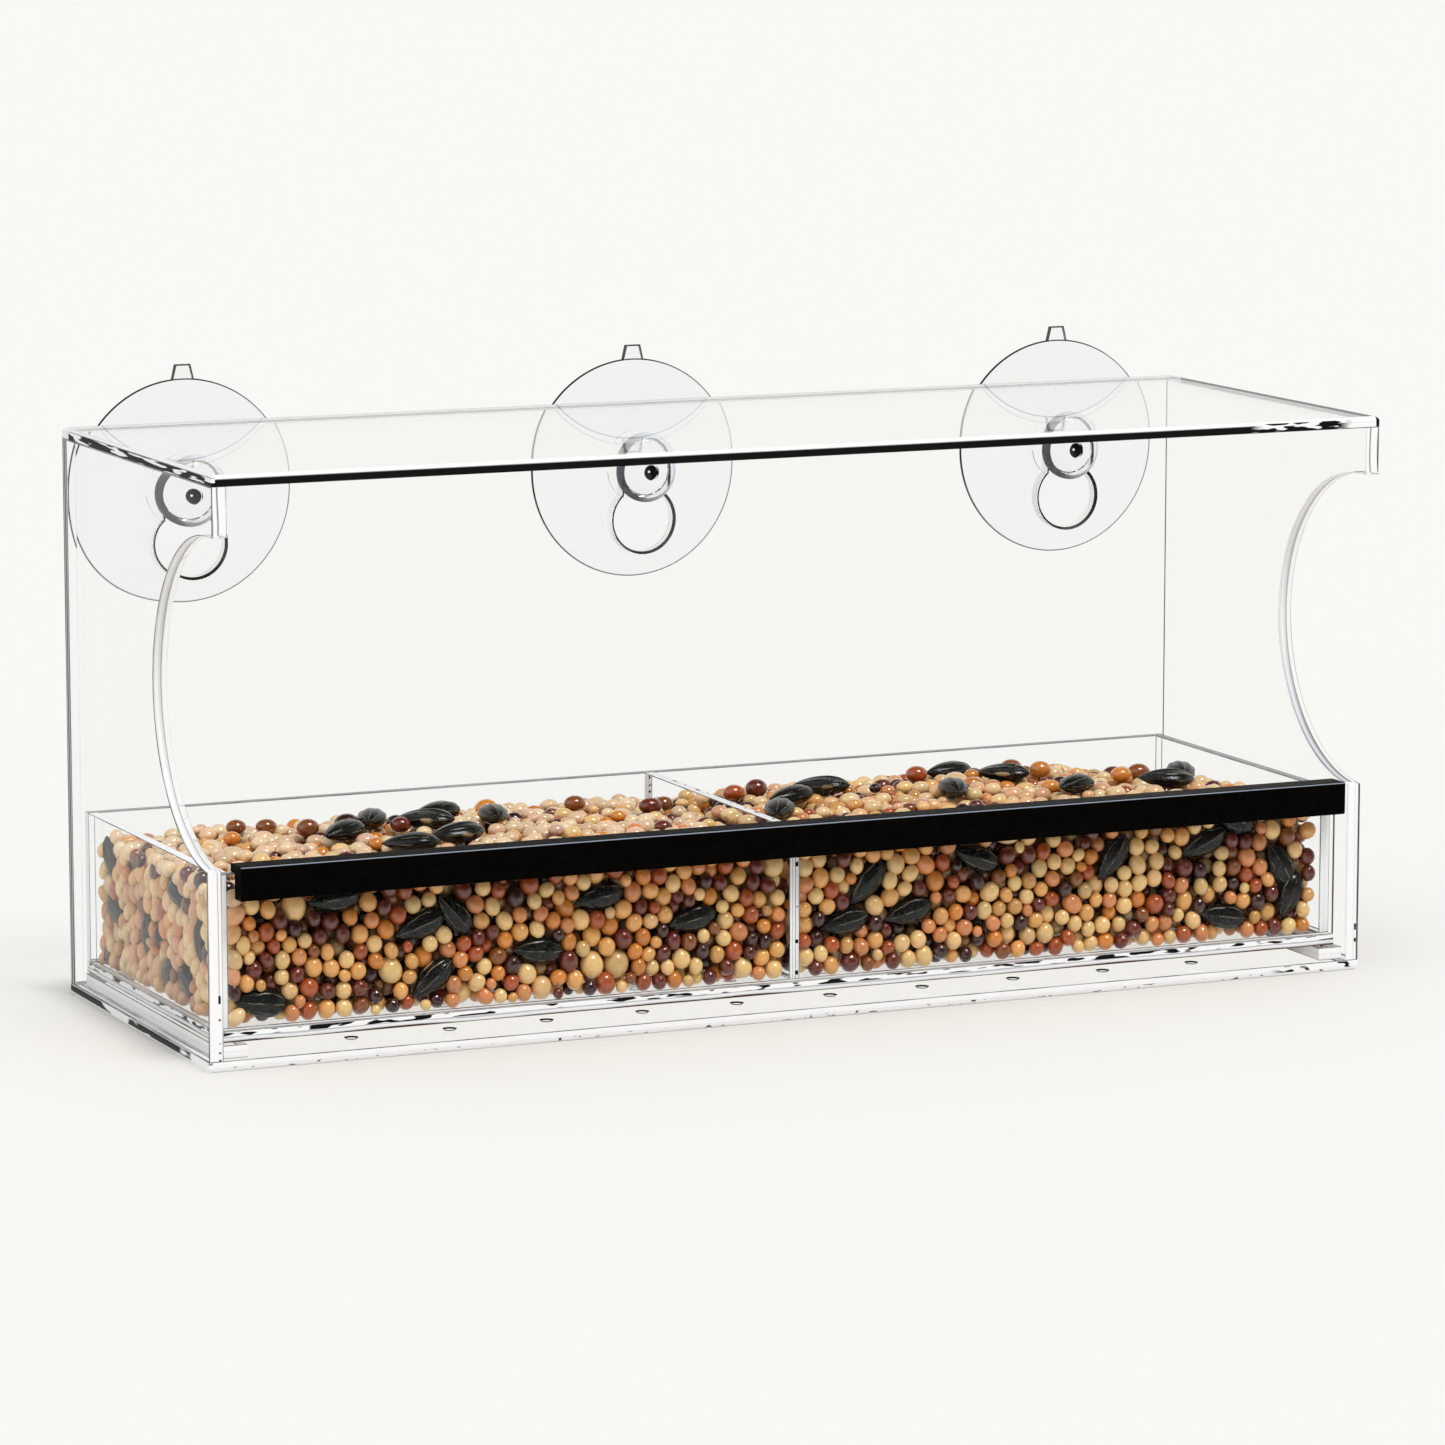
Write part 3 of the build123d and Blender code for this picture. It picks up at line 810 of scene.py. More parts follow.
cup_around = 160
dimple_steps = 8
head_steps = 20
underside_steps = 5
disc_steps = 28
hollow_steps = 29
tab_steps = 8
cup_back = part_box("suction_cup_left")[1].y
cup_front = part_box("suction_cup_left")[0].y
back_low, back_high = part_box("back_panel")
face_clearance = 0.1 * MM
neck_radius = 5.6 * MM
head_radius = 8.5 * MM
head_edge = 2.0 * MM
head_round = 0.6 * MM
dimple_radius = 2.2 * MM
dimple_depth = 1.8 * MM
disc_lip = 0.8 * MM
disc_rim_width = 1.2 * MM
disc_hollow = 1.9 * MM
disc_line = 0.35 * MM
head_band = 1.2 * MM
shoulder_radius = 9.0 * MM
shoulder_step = 0.6 * MM
disc_bow = 0.5 * MM
tab_base_width = 6.2 * MM
tab_tip_width = 4.4 * MM
tab_thickness = 1.6 * MM
tab_round = 0.35 * MM
tab_sink = 0.02 * MM
tab_gap = 0.03 * MM
neck_fillet = 0.3 * MM
shoulder_fillet = 0.2 * MM
lip_fillet = 0.15 * MM
lip_step = 0.02 * MM
rim_fillet = 0.25 * MM
rim_bevel = 0.07 * MM
# The dimple's bend and its part painted dark as shade, in shares of its depth and radius
dimple_bend = (0.85, 0.55)
dark_dimple = 0.85
# Which way the painted shade of the head and the disc falls: darkest to the lower left and to the upper
# left
head_lean = (-0.97, -0.24)
disc_lean = (-0.72, 0.69)


def bow(first, middle, last, count):
    """Points on a smooth curve through three points, without the first."""
    a, b, c = (np.array(p) for p in (first, middle, last))
    shares = np.linspace(0, 1, count + 1)[1:]
    knot = 2 * b - (a + c) / 2
    return [tuple((1 - t) ** 2 * a + 2 * t * (1 - t) * knot + t * t * c) for t in shares]


def cup_profile():
    """(reach, radius) from the dimple in the head, round the outside, to the hollow's middle."""
    underside = back_low.y - face_clearance
    shoulder = underside - head_edge
    foot = back_high.y + face_clearance
    disc_foot = foot + shoulder_step
    half = (dimple_radius + head_radius) / 2
    dome = (cup_front + (shoulder - cup_front) * (half / head_radius) ** 2 / 2, half)
    bend = (cup_front + dimple_depth * dimple_bend[0], dimple_radius * dimple_bend[1])
    profile = bow((cup_front + dimple_depth, 0), bend, (cup_front, dimple_radius), dimple_steps)
    profile += bow(profile[-1], dome, (shoulder, head_radius), head_steps)
    profile += [(underside - head_round, head_radius)]
    for t in np.linspace(0, math.pi / 2, underside_steps + 1)[1:]:
        reach = underside - head_round + head_round * math.sin(t)
        profile.append((reach, head_radius - head_round * (1 - math.cos(t))))
    profile += [(underside, neck_radius + neck_fillet), (underside + neck_fillet, neck_radius)]
    profile += [(foot - neck_fillet, neck_radius), (foot, neck_radius + neck_fillet)]
    profile += [(foot, shoulder_radius - shoulder_fillet), (foot + shoulder_fillet, shoulder_radius)]
    profile += [(disc_foot, shoulder_radius)]
    lip = (cup_back - disc_lip, disc_radius - disc_line)
    bowed = ((disc_foot + lip[0]) / 2 - disc_bow, (shoulder_radius + disc_radius) / 2)
    profile += bow(profile[-1], bowed, lip, disc_steps)
    profile += [(lip[0] + lip_step, disc_radius - lip_fillet), (lip[0] + lip_fillet, disc_radius)]
    profile += [(cup_back - rim_fillet, disc_radius), (cup_back - rim_bevel, disc_radius - rim_bevel)]
    profile += [(cup_back, disc_radius - rim_fillet)]
    hollow = disc_radius - disc_rim_width
    profile += [(cup_back, hollow)]
    reaches = np.linspace(hollow, 0, hollow_steps + 1)[1:-1]
    return profile + [(cup_back - disc_hollow * (1 - (r / hollow) ** 2), r) for r in reaches]


def lathe(middle, profile, ends):
    """Verts and faces of a profile turned about the cup's axis, closed by a point at each end.

    Also the kind of each face, 0 clear, 1 dimple, 2 turned-over head, 3 disc's rim, 5 head, and each
    vert's shade: how far it lies towards the lower left for the head, and the upper left for the disc.
    """
    verts, faces, kinds, shades = [(middle, ends[0], cup_height)], [], [], [0.5]
    head_foot = back_low.y
    for reach, radius in profile:
        lean = head_lean if reach < head_foot else disc_lean
        for turn in np.linspace(0, 2 * math.pi, cup_around, endpoint=False):
            verts.append((middle + radius * math.sin(turn), reach, cup_height + radius * math.cos(turn)))
            shades.append(0.5 + 0.5 * (lean[0] * math.sin(turn) + lean[1] * math.cos(turn)))
    verts.append((middle, ends[1], cup_height))
    shades.append(0.5)
    last = len(verts) - 1
    bands = []
    for (reach, radius), (next_reach, next_radius) in zip(profile, profile[1:]):
        mid_reach, mid_radius = (reach + next_reach) / 2, (radius + next_radius) / 2
        if mid_reach < head_foot:
            dimple = mid_radius < dimple_radius * dark_dimple and mid_reach > cup_front
            turned = mid_radius > head_radius - head_band
            bands.append(1 if dimple else 2 if turned else 5)
        else:
            bands.append(3 if mid_radius > disc_radius - disc_line and reach < cup_back else 0)
    for index, band in enumerate(bands):
        faces += ring(1 + index * cup_around, cup_around)
        kinds += [band] * cup_around
    for k in range(cup_around):
        after = (k + 1) % cup_around
        faces += [(0, 1 + after, 1 + k), (last, last - cup_around + k, last - cup_around + after)]
    return verts, faces, kinds + [0, 0] * cup_around, shades


def tab_faces(middle, first):
    """The pull tab over the disc: a tapered tongue whose root follows the rim."""
    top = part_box("suction_cup_left")[1].z
    front, back = cup_back - tab_thickness, cup_back - tab_sink
    verts, faces, rows = [], [], []
    shares = np.linspace(-0.5, 0.5, tab_steps + 1)
    levels = ((front, tab_round), (front + tab_round, 0), (back - tab_round, 0), (back, tab_round))
    for reach, shrink in levels:
        places = shares * (tab_base_width - 2 * shrink)
        foot = [(x, math.sqrt((disc_radius + tab_gap) ** 2 - x * x)) for x in places]
        tip = [(x, top - cup_height - shrink) for x in shares * (tab_tip_width - 2 * shrink)]
        rows.append([(middle + x, reach, cup_height + z) for x, z in foot + tip[::-1]])
    count = len(rows[0])
    for row in rows:
        verts += row
    for index in range(len(rows) - 1):
        faces += ring(first + index * count, count)
    kinds = [4] * len(faces) + [0, 0]
    for start in (first, first + (len(rows) - 1) * count):
        faces.append(tuple(start + k for k in range(count)))
    return verts, faces, kinds


def cup_moulding(side):
    """A suction cup: head, neck and dished disc in one turned body, and the tab."""
    middle = cup_middles[side]
    profile = cup_profile()
    ends = (cup_front + dimple_depth, cup_back - disc_hollow)
    verts, faces, kinds, shades = lathe(middle, profile, ends)
    more_verts, more_faces, more_kinds = tab_faces(middle, len(verts))
    shades += [0.5 + 0.5 * (cup_back - vert[1]) / tab_thickness for vert in more_verts]
    verts, faces, kinds = verts + more_verts, faces + more_faces, kinds + more_kinds
    piece = make_mesh(f"cup_{side}_moulding", verts, faces, kinds, 40.0, shade=shades)
    return dress(piece, plastic, dimple_shade, head_turned, disc_outline, tab_line, shaded_head_plastic)


plastic = soft_plastic("clear_soft_plastic", (0.965, 0.972, 0.985))
# Painted light and shade on the cups: a bluish tint that shades the head, a near-black dimple, a dark
# crescent towards the head's lower left, a disc outline dark towards its upper left, and a grey and dark
# tab outline
shaded_head_plastic = soft_plastic("clear_head_plastic", (0.900, 0.920, 0.955))
dimple_shade = plastic_band("plastic_dimple", (0.004, 0.004, 0.005), (0.02, 0.02, 0.024), 0.05)
head_turned = plastic_band("plastic_head_side", (0.78, 0.82, 0.90), (0.11, 0.115, 0.13), 0.15)
disc_outline = plastic_band("plastic_disc_line", (0.40, 0.40, 0.42), (0.012, 0.012, 0.015), 0.15)
tab_line = plastic_band("plastic_tab_line", (0.30, 0.30, 0.32), (0.05, 0.05, 0.06), 0.2)
for side in ("left", "middle", "right"):
    settle(cup_moulding(side), f"cup_{side}", "clear_soft_plastic", f"suction_cup_{side}")


# Seeds: each heap is a packing of single seeds round the sunflower seeds, and of those only the
# outer layers are made, because nothing shows what lies deeper

seed_fill_share = 0.60
deepest_shown = 8.0 * MM
first_layer = 2.4 * MM
rounds_of_settling = 200
rounds_between_searches = 4
search_margin = 1.05
push_share = 0.42
usual_seed = 4 * MM
weld_gap = 0.01 * MM
# The loose sunflower seeds, counted from the left, whose wide axis points to the right
wide_to_right = {"sunflower_seeds_left": (1, 4), "sunflower_seeds_right": ()}
# The share of a sunflower seed's size that the seeds of the mix keep out of
block_share = 0.94
# Seeds nearer to a larger seed on top than this share of both radii are taken away
crown_seed_share = 0.8
# How far a single seed may lie above and below the heap's smooth top
loose_rise = 2.2 * MM
loose_sink = 1.4 * MM

# Kinds of seed: share of the mix and colour
seed_kinds = {
    "cream": (0.24, (0.890, 0.580, 0.235)),
    "tan": (0.18, (0.820, 0.410, 0.118)),
    "peach": (0.10, (0.730, 0.275, 0.090)),
    "golden": (0.11, (0.700, 0.245, 0.034)),
    "orange": (0.10, (0.420, 0.080, 0.014)),
    "brown": (0.04, (0.240, 0.068, 0.011)),
    "chestnut": (0.12, (0.140, 0.020, 0.008)),
    "maroon": (0.11, (0.040, 0.006, 0.005)),
}
pale_kinds = ("cream", "cream", "tan", "peach")
# How many of the seeds on top of each half and against the left side are of pale kinds for certain
paler_share = {"left": 0.80, "right": 0.50}
# Deeper seeds, seen only through gaps, are darkened by this share: painted shade
inner_shade = 0.36
# Painted light: pale seeds on top and against the left side are paled by a share towards one light colour,
# less where they lie at the side
lit_paling = {"left": 0.55, "right": 0.30}
side_lit_paling = 0.35
lit_pale_tone = (0.93, 0.76, 0.56)
# The seeds against the left side and those on top: how deep the layer is and how it changes their sizes
end_layer = 3.0 * MM
end_stretch = (0.95, 0.95, 1.25)
top_layer = 2.6 * MM
top_flatness = (1.15, 1.05, 0.78)
# Sizes of seed: share of the mix, smallest and largest diameter
seed_sizes = ((0.66, 4.0 * MM, 4.8 * MM), (0.17, 4.8 * MM, 5.6 * MM), (0.16, 2.8 * MM, 3.8 * MM),
              (0.01, 6.0 * MM, 7.6 * MM))
seed_lean = math.radians(28)
# How seeds of a kind differ in lightness and in hue, and the limits of a seed's colour
light_spread = 0.12
most_light = 1.06
hue_spread = 0.02
darkest, lightest = 0.002, 0.95

seed_boxes = {side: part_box(f"seed_mix_{side}") for side in ("left", "right")}
rim_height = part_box("tray_left_wall")[1].z


def near_pairs(points, reach):
    """Indices of pairs of points nearer to each other than reach, found by cells."""
    cells = np.floor((points - points.min(0)) / reach).astype(np.int64) + 1
    size = cells.max(0) + 2
    keys = (cells[:, 0] * size[1] + cells[:, 1]) * size[2] + cells[:, 2]
    order = np.argsort(keys, kind="stable")
    ranked = keys[order]
    firsts, seconds = [], []
    for step in [(x, y, z) for x in (-1, 0, 1) for y in (-1, 0, 1) for z in (-1, 0, 1)]:
        if step < (0, 0, 0):
            continue
        target = ranked + (step[0] * size[1] + step[1]) * size[2] + step[2]
        start = np.searchsorted(ranked, target, "left")
        count = np.searchsorted(ranked, target, "right") - start
        one = np.repeat(np.arange(len(points)), count)
        other = np.arange(count.sum()) + np.repeat(start - (np.cumsum(count) - count), count)
        if step == (0, 0, 0):
            one, other = one[one < other], other[one < other]
        firsts.append(order[one])
        seconds.append(order[other])
    one, other = np.concatenate(firsts), np.concatenate(seconds)
    near = ((points[one] - points[other]) ** 2).sum(1) < reach * reach
    return one[near], other[near]


def push_out(points, radii, block):
    """Moves seeds out of a sunflower seed, taken as an ellipsoid."""
    middle, turn, half = block
    local = (points - middle) @ turn
    room = half + radii[:, None]
    depth = np.sqrt(((local / room) ** 2).sum(1))
    inside = depth < 1
    local[inside] /= np.maximum(depth[inside], 0.05)[:, None]
    points[inside] = middle + local[inside] @ turn.T


def settle_seeds(points, radii, low, high, ceiling, blocks):
    """Pushes overlapping seeds apart, round after round, between the walls and under the ceiling."""
    reach = 2 * radii.max() * search_margin
    for count in range(rounds_of_settling):
        if count % rounds_between_searches == 0:
            one, other = near_pairs(points, reach)
        apart = points[one] - points[other]
        distance = np.maximum(np.sqrt((apart**2).sum(1)), 1e-6)
        overlap = np.maximum(radii[one] + radii[other] - distance, 0)
        push = apart * (overlap / distance * push_share)[:, None]
        for axis in range(3):
            points[:, axis] += np.bincount(one, push[:, axis], len(points))
            points[:, axis] -= np.bincount(other, push[:, axis], len(points))
        for block in blocks:
            push_out(points, radii, block)
        points[:] = np.clip(points, low + radii[:, None], high - radii[:, None])
        points[:, 2] = np.minimum(points[:, 2], ceiling(points) - radii)
        points[:, 2] = np.maximum(points[:, 2], low[2] + radii)
    return points


def islands(node):
    """(middle, turn) of each separate solid in a node: its long, wide and thin axes."""
    work = bmesh_of(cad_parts[node].data)
    bmesh.ops.remove_doubles(work, verts=work.verts, dist=weld_gap)
    left = set(work.verts)
    found = []
    while left:
        group, todo = [], [left.pop()]
        while todo:
            vert = todo.pop()
            group.append(vert.co.copy())
            for edge in vert.link_edges:
                other = edge.other_vert(vert)
                if other in left:
                    left.remove(other)
                    todo.append(other)
        found.append(np.array(sorted(tuple(v) for v in group)))
    work.free()
    found.sort(key=lambda points: tuple(points.mean(0)))
    ways = [1 if number in wide_to_right[node] else -1 for number in range(len(found))]
    return [long_axes(points, way) for points, way in zip(found, ways)]


def long_axes(points, way):
    """The middle of a sunflower seed's points and its axes: long towards the blunt end, wide, thin.

    way is 1 where the wide axis points to the right, and -1 where it points to the left.
    """
    middle = points.mean(0)
    axes = np.linalg.svd(points - middle, full_matrices=False)[2]
    along = (points - middle) @ axes[0]
    if along.max() > -along.min():
        axes[0], along = -axes[0], -along
    wide = axes[1] * np.sign(axes[1, 0]) * way
    turn = np.stack([axes[0], wide, np.cross(axes[0], wide)], axis=1)
    half_box = (along.max() + along.min()) / 2
    return middle + axes[0] * half_box, turn


def crown(side, points):
    """The height of a heap's top: crowned both ways; a mound and a low back corner on the right."""
    low, high = seed_boxes[side]
    across = (points[:, 0] - low.x) / (high.x - low.x)
    if side == "left":
        across = 1 - across
    deep = (points[:, 1] - low.y) / (high.y - low.y)
    to_side, to_back = across - 0.5, deep - crest
    fall = np.maximum(to_side**2 * np.where(to_side > 0, outer_fall, divider_fall[side]),
                      to_back**2 * np.where(to_back > 0, back_fall, front_fall))
    level = rim_height - crown_below_rim - fall
    if side == "right":
        away = -((across - mound_middle[0]) ** 2) / mound_spread[0]
        level += mound_height * np.exp(away - ((deep - mound_middle[1]) ** 2) / mound_spread[1])
        outward = np.clip((across - corner_start[0]) / corner_run[0], 0, 1)
        level -= corner_depth * outward * np.clip((deep - corner_start[1]) / corner_run[1], 0, 1)
    return level


# Larger seeds that lie on top of a half, towards its back: place and diameter in mm, and kind
crown_seeds = {
    "left": ((-129, 24, 5.2, "brown"), (-122, 20, 5.0, "brown"), (-114, 10, 5.8, "brown"),
             (-103.5, 9, 6.4, "maroon"), (-96.1, 11.3, 6.6, "brown"), (-91, 2, 5.4, "chestnut"),
             (-58, 24, 5.6, "golden"), (-34, 20, 5.6, "brown"), (-14, 15, 5.8, "chestnut"),
             (-8, 20, 5.2, "brown")),
    "right": ((12, 18, 5.4, "orange"), (20, 21, 6.0, "chestnut"), (67, 18, 5.8, "orange"),
              (94, 14, 5.8, "brown"), (100, 8, 5.6, "golden"), (122, 2, 5.6, "golden"),
              (130, 7, 6.2, "brown"), (136, 1, 5.4, "golden")),
}
crown_seed_rise = 0.45

# Sunflower seeds that show against the front wall: share of the half's width, share of its height,
# and the turn of the long axis in degrees
front_sunflowers = {
    "left": ((0.06, 0.15, -8), (0.34, 0.62, 20), (0.40, 0.68, -50), (0.55, 0.36, -6), (0.66, 0.72, 10),
             (0.83, 0.50, 12), (0.36, 0.22, 40), (0.19, 0.86, 5)),
    "right": ((0.09, 0.38, 12), (0.13, 0.66, 50), (0.21, 0.42, 15), (0.34, 0.78, -20), (0.60, 0.70, 55),
              (0.78, 0.76, 25), (0.84, 0.92, -25), (0.82, 0.18, -10), (0.93, 0.55, -60), (0.95, 0.30, 70)),
}
# Half sizes of a sunflower seed: long, wide and thin
sunflower_half = np.array([6.5, 3.2, 2.1]) * MM
top_seed_scale = 1.30
wall_seed_scale = 1.15
inner_sunflowers = 26
most_tries = 4000
apart_share = 2.1
wall_headroom = 3 * MM
inner_foot = 4 * MM
inner_headroom = 12 * MM
wall_gap = 0.1 * MM
end_gap = 0.2 * MM
# How far the heap's mean top lies below its box
crown_sink = 2.0 * MM
# The heap's top: its crest below the rim, and how much it falls towards each side
crown_below_rim = 1.8 * MM
divider_fall = {"left": 15.0 * MM, "right": 6.4 * MM}
outer_fall = 14.8 * MM
front_fall = 6.0 * MM
back_fall = 17.0 * MM
mound_height = 1.6 * MM
corner_depth = 5.5 * MM
# Shares of a half's width outward from the divider, and of its depth towards the back
crest = 0.45
mound_middle = (0.52, 0.6)
mound_spread = (0.03, 0.06)
corner_start = (0.72, 0.35)
corner_run = (0.28, 0.65)
wall_room = 0.15 * MM
crown_room = 6.0 * MM
least_squash_share = (0.90, 0.86, 0.98)
most_squash_share = (1.00, 0.96, 1.14)


def wall_sunflowers(side):
    """(middle, turn) of the sunflower seeds that lie flat against the front wall."""
    low, high = (np.array(end) for end in seed_boxes[side])
    placed = []
    for across, up, angle in front_sunflowers[side]:
        middle = np.array([low[0] + (high[0] - low[0]) * across,
                           low[1] + sunflower_half[2] * wall_seed_scale,
                           low[2] + (high[2] - wall_headroom - low[2]) * up])
        tilt = math.radians(angle)
        along = np.array([math.cos(tilt), 0.0, math.sin(tilt)])
        wide = np.array([-math.sin(tilt), 0.0, math.cos(tilt)])
        placed.append((middle, np.stack([along, wide, np.cross(along, wide)], axis=1)))
    return placed


def upright_turns(count):
    """Turns that leave a seed's long axis near upright, leaning any way."""
    lean = rng.normal(0, seed_lean, count)
    heading, spin = rng.uniform(0, 2 * math.pi, (2, count))
    turns = np.zeros((count, 3, 3))
    for index in range(count):
        lay = Matrix.Rotation(heading[index], 3, "Z") @ Matrix.Rotation(lean[index], 3, "Y")
        turns[index] = lay @ Matrix.Rotation(spin[index], 3, "Z")
    return turns


def other_sunflowers(side, placed):
    """More sunflower seeds, laid at random against the side wall, the back wall and in the heap."""
    low, high = (np.array(end) for end in seed_boxes[side])
    outer, inward = (low[0], 1) if side == "left" else (high[0], -1)
    found, tries = [], 0
    while len(found) < inner_sunflowers and tries < most_tries:
        tries += 1
        share = rng.random(3)
        middle = low + (high - low) * share
        middle[2] = low[2] + inner_foot + (high[2] - low[2] - inner_headroom) * share[2]
        angle = rng.uniform(0, math.pi)
        flat = np.array([math.cos(angle), math.sin(angle)])
        if tries % 3 == 0:
            middle[0] = outer + inward * (sunflower_half[2] + wall_gap)
            along, wide = np.array([0, flat[0], flat[1]]), np.array([0, -flat[1], flat[0]])
        elif tries % 3 == 1:
            middle[1] = high[1] - sunflower_half[2] - wall_gap
            along, wide = np.array([flat[0], 0, flat[1]]), np.array([-flat[1], 0, flat[0]])
        else:
            along, wide = np.array([flat[0], flat[1], 0]), np.array([-flat[1], flat[0], 0])
        reach = np.abs(along) * sunflower_half[0] + np.abs(wide) * sunflower_half[1]
        inside = np.minimum(np.maximum(middle, low + reach + end_gap), high - reach - end_gap)
        middle = np.where(reach > 0, inside, middle)
        gaps = (np.linalg.norm(middle - other[0]) for other in placed + found)
        if all(gap > apart_share * sunflower_half[0] for gap in gaps):
            found.append((middle, np.stack([along, wide, np.cross(along, wide)], axis=1)))
    return found


def ball(frequency):
    """A unit ball: an icosahedron's faces cut into frequency squared triangles."""
    golden = (1 + 5**0.5) / 2
    corners = [(-1, golden, 0), (1, golden, 0), (-1, -golden, 0), (1, -golden, 0),
               (0, -1, golden), (0, 1, golden), (0, -1, -golden), (0, 1, -golden),
               (golden, 0, -1), (golden, 0, 1), (-golden, 0, -1), (-golden, 0, 1)]
    triangles = [(0, 11, 5), (0, 5, 1), (0, 1, 7), (0, 7, 10), (0, 10, 11), (1, 5, 9), (5, 11, 4),
                 (11, 10, 2), (10, 7, 6), (7, 1, 8), (3, 9, 4), (3, 4, 2), (3, 2, 6), (3, 6, 8), (3, 8, 9),
                 (4, 9, 5), (2, 4, 11), (6, 2, 10), (8, 6, 7), (9, 8, 1)]
    verts, index, faces = [], {}, []

    def vert(point):
        unit = np.array(point) / np.linalg.norm(point)
        key = tuple(np.round(unit, 5))
        if key not in index:
            index[key] = len(verts)
            verts.append(unit)
        return index[key]

    for a, b, c in triangles:
        a, b, c = (np.array(corners[k], float) for k in (a, b, c))
        grid = {}
        for i in range(frequency + 1):
            for j in range(frequency + 1 - i):
                grid[i, j] = vert(a + (b - a) * i / frequency + (c - a) * j / frequency)
        for i, j in grid:
            if (i + 1, j) in grid and (i, j + 1) in grid:
                faces.append((grid[i, j], grid[i + 1, j], grid[i, j + 1]))
            if (i + 1, j + 1) in grid:
                faces.append((grid[i + 1, j], grid[i + 1, j + 1], grid[i, j + 1]))
    return np.array(verts), np.array(faces)


def hull():
    """A sunflower seed about its middle: a flattened drop with low ridges along it."""
    around, along, ridges, ridge_start = 36, 22, 9, 0.6
    ridge_height, ridge_fade = 0.035, 1.4
    widest = 1.5 * MM
    half = sunflower_half
    verts = [(-half[0], 0, 0)]
    for step in range(1, along):
        x = -half[0] * math.cos(math.pi * step / along)
        run = (half[0] - widest) if x > widest else (half[0] + widest)
        arc_radius = (run**2 + half[1] ** 2) / (2 * half[1])
        wide = half[1] - arc_radius + math.sqrt(arc_radius**2 - (x - widest) ** 2)
        for k in range(around):
            turn = 2 * math.pi * k / around
            fade = min(1, wide / half[1] * ridge_fade)
            ridge = 1 + ridge_height * math.cos(ridges * turn + ridge_start) * fade
            thick = wide * half[2] / half[1] * ridge * math.sin(turn)
            verts.append((x, wide * ridge * math.cos(turn), thick))
    verts.append((half[0], 0, 0))
    faces = []
    last = len(verts) - 1
    for k in range(around):
        after = (k + 1) % around
        faces.append((0, 1 + after, 1 + k))
        for ring in range(along - 2):
            low = 1 + ring * around
            faces.append((low + k, low + after, low + around + after))
            faces.append((low + k, low + around + after, low + around + k))
        low = 1 + (along - 2) * around
        faces.append((low + k, low + after, last))
    return np.array(verts), np.array(faces)


def crowd(shape, middles, sizes, turns, colours=None):
    """One mesh of many copies of a shape, each with its size, turn and place."""
    verts, faces = shape
    count = len(middles)
    local = np.broadcast_to(verts, (count, *verts.shape))
    placed = np.einsum("nij,nvj->nvi", turns, local * sizes[:, None, :]) + middles[:, None, :]
    offsets = (np.arange(count) * len(verts))[:, None, None]
    faces = (faces[None] + offsets).reshape(-1, faces.shape[1])
    colours = None if colours is None else np.repeat(colours, len(verts), axis=0)
    return placed.reshape(-1, 3), faces, local.reshape(-1, 3), colours


def seed_mesh(name, parts):
    """A piece made of crowds, with each seed's own coordinates and colour as attributes."""
    verts = np.concatenate([part[0] for part in parts])
    starts = np.cumsum([0] + [len(part[0]) for part in parts[:-1]])
    faces = np.concatenate([part[1] + start for part, start in zip(parts, starts)])
    local = np.concatenate([part[2] for part in parts])
    mesh = bpy.data.meshes.new(name)
    mesh.vertices.add(len(verts))
    mesh.vertices.foreach_set("co", verts.astype(np.float32).ravel())
    mesh.loops.add(faces.size)
    mesh.loops.foreach_set("vertex_index", faces.astype(np.int32).ravel())
    mesh.polygons.add(len(faces))
    mesh.polygons.foreach_set("loop_start", np.arange(0, faces.size, 3, dtype=np.int32))
    mesh.update(calc_edges=True)
    mesh.polygons.foreach_set("use_smooth", np.ones(len(faces), bool))
    store(mesh, "seed_local", "FLOAT_VECTOR", "vector", local)
    if parts[0][3] is not None:
        colours = np.concatenate([part[3] for part in parts])
        colours = np.concatenate([colours, np.ones((len(colours), 1))], axis=1)
        store(mesh, "seed_colour", "FLOAT_COLOR", "color", colours)
    return add_object(name, mesh)


def seed_coat(name):
    """A glossy seed coat: its own colour, mottled and shaded, with a small dark scar at one end."""
    paint = Paint(name)
    own = paint.attribute("seed_colour", "Color")
    mottle = paint.noise(900.0, 4.0, 0.65)
    cloud = paint.spread(paint.noise(300.0), 0.0, 0.55, 0.45, 0.75)
    tone = paint.mix(paint.spread(mottle, 0.0, 0.35, 0.4, 0.8), own, (0.62, 0.46, 0.34), "MULTIPLY")
    tone = paint.mix(cloud, tone, (1.12, 1.10, 1.05), "MULTIPLY")
    place = paint.split(paint.attribute("seed_local", "Vector"))
    tone = paint.mix(paint.spread(place["Z"], 0.0, 0.6, 0.965, 0.99), tone, (0.08, 0.03, 0.012))
    paint.set(Base_Color=tone, IOR=1.3, Roughness=paint.spread(mottle, 0.24, 0.40))
    paint.set(Coat_Weight=1.0, Coat_IOR=1.6, Coat_Roughness=0.16)
    paint.bump(mottle, 0.10, 0.0001)
    return paint.material


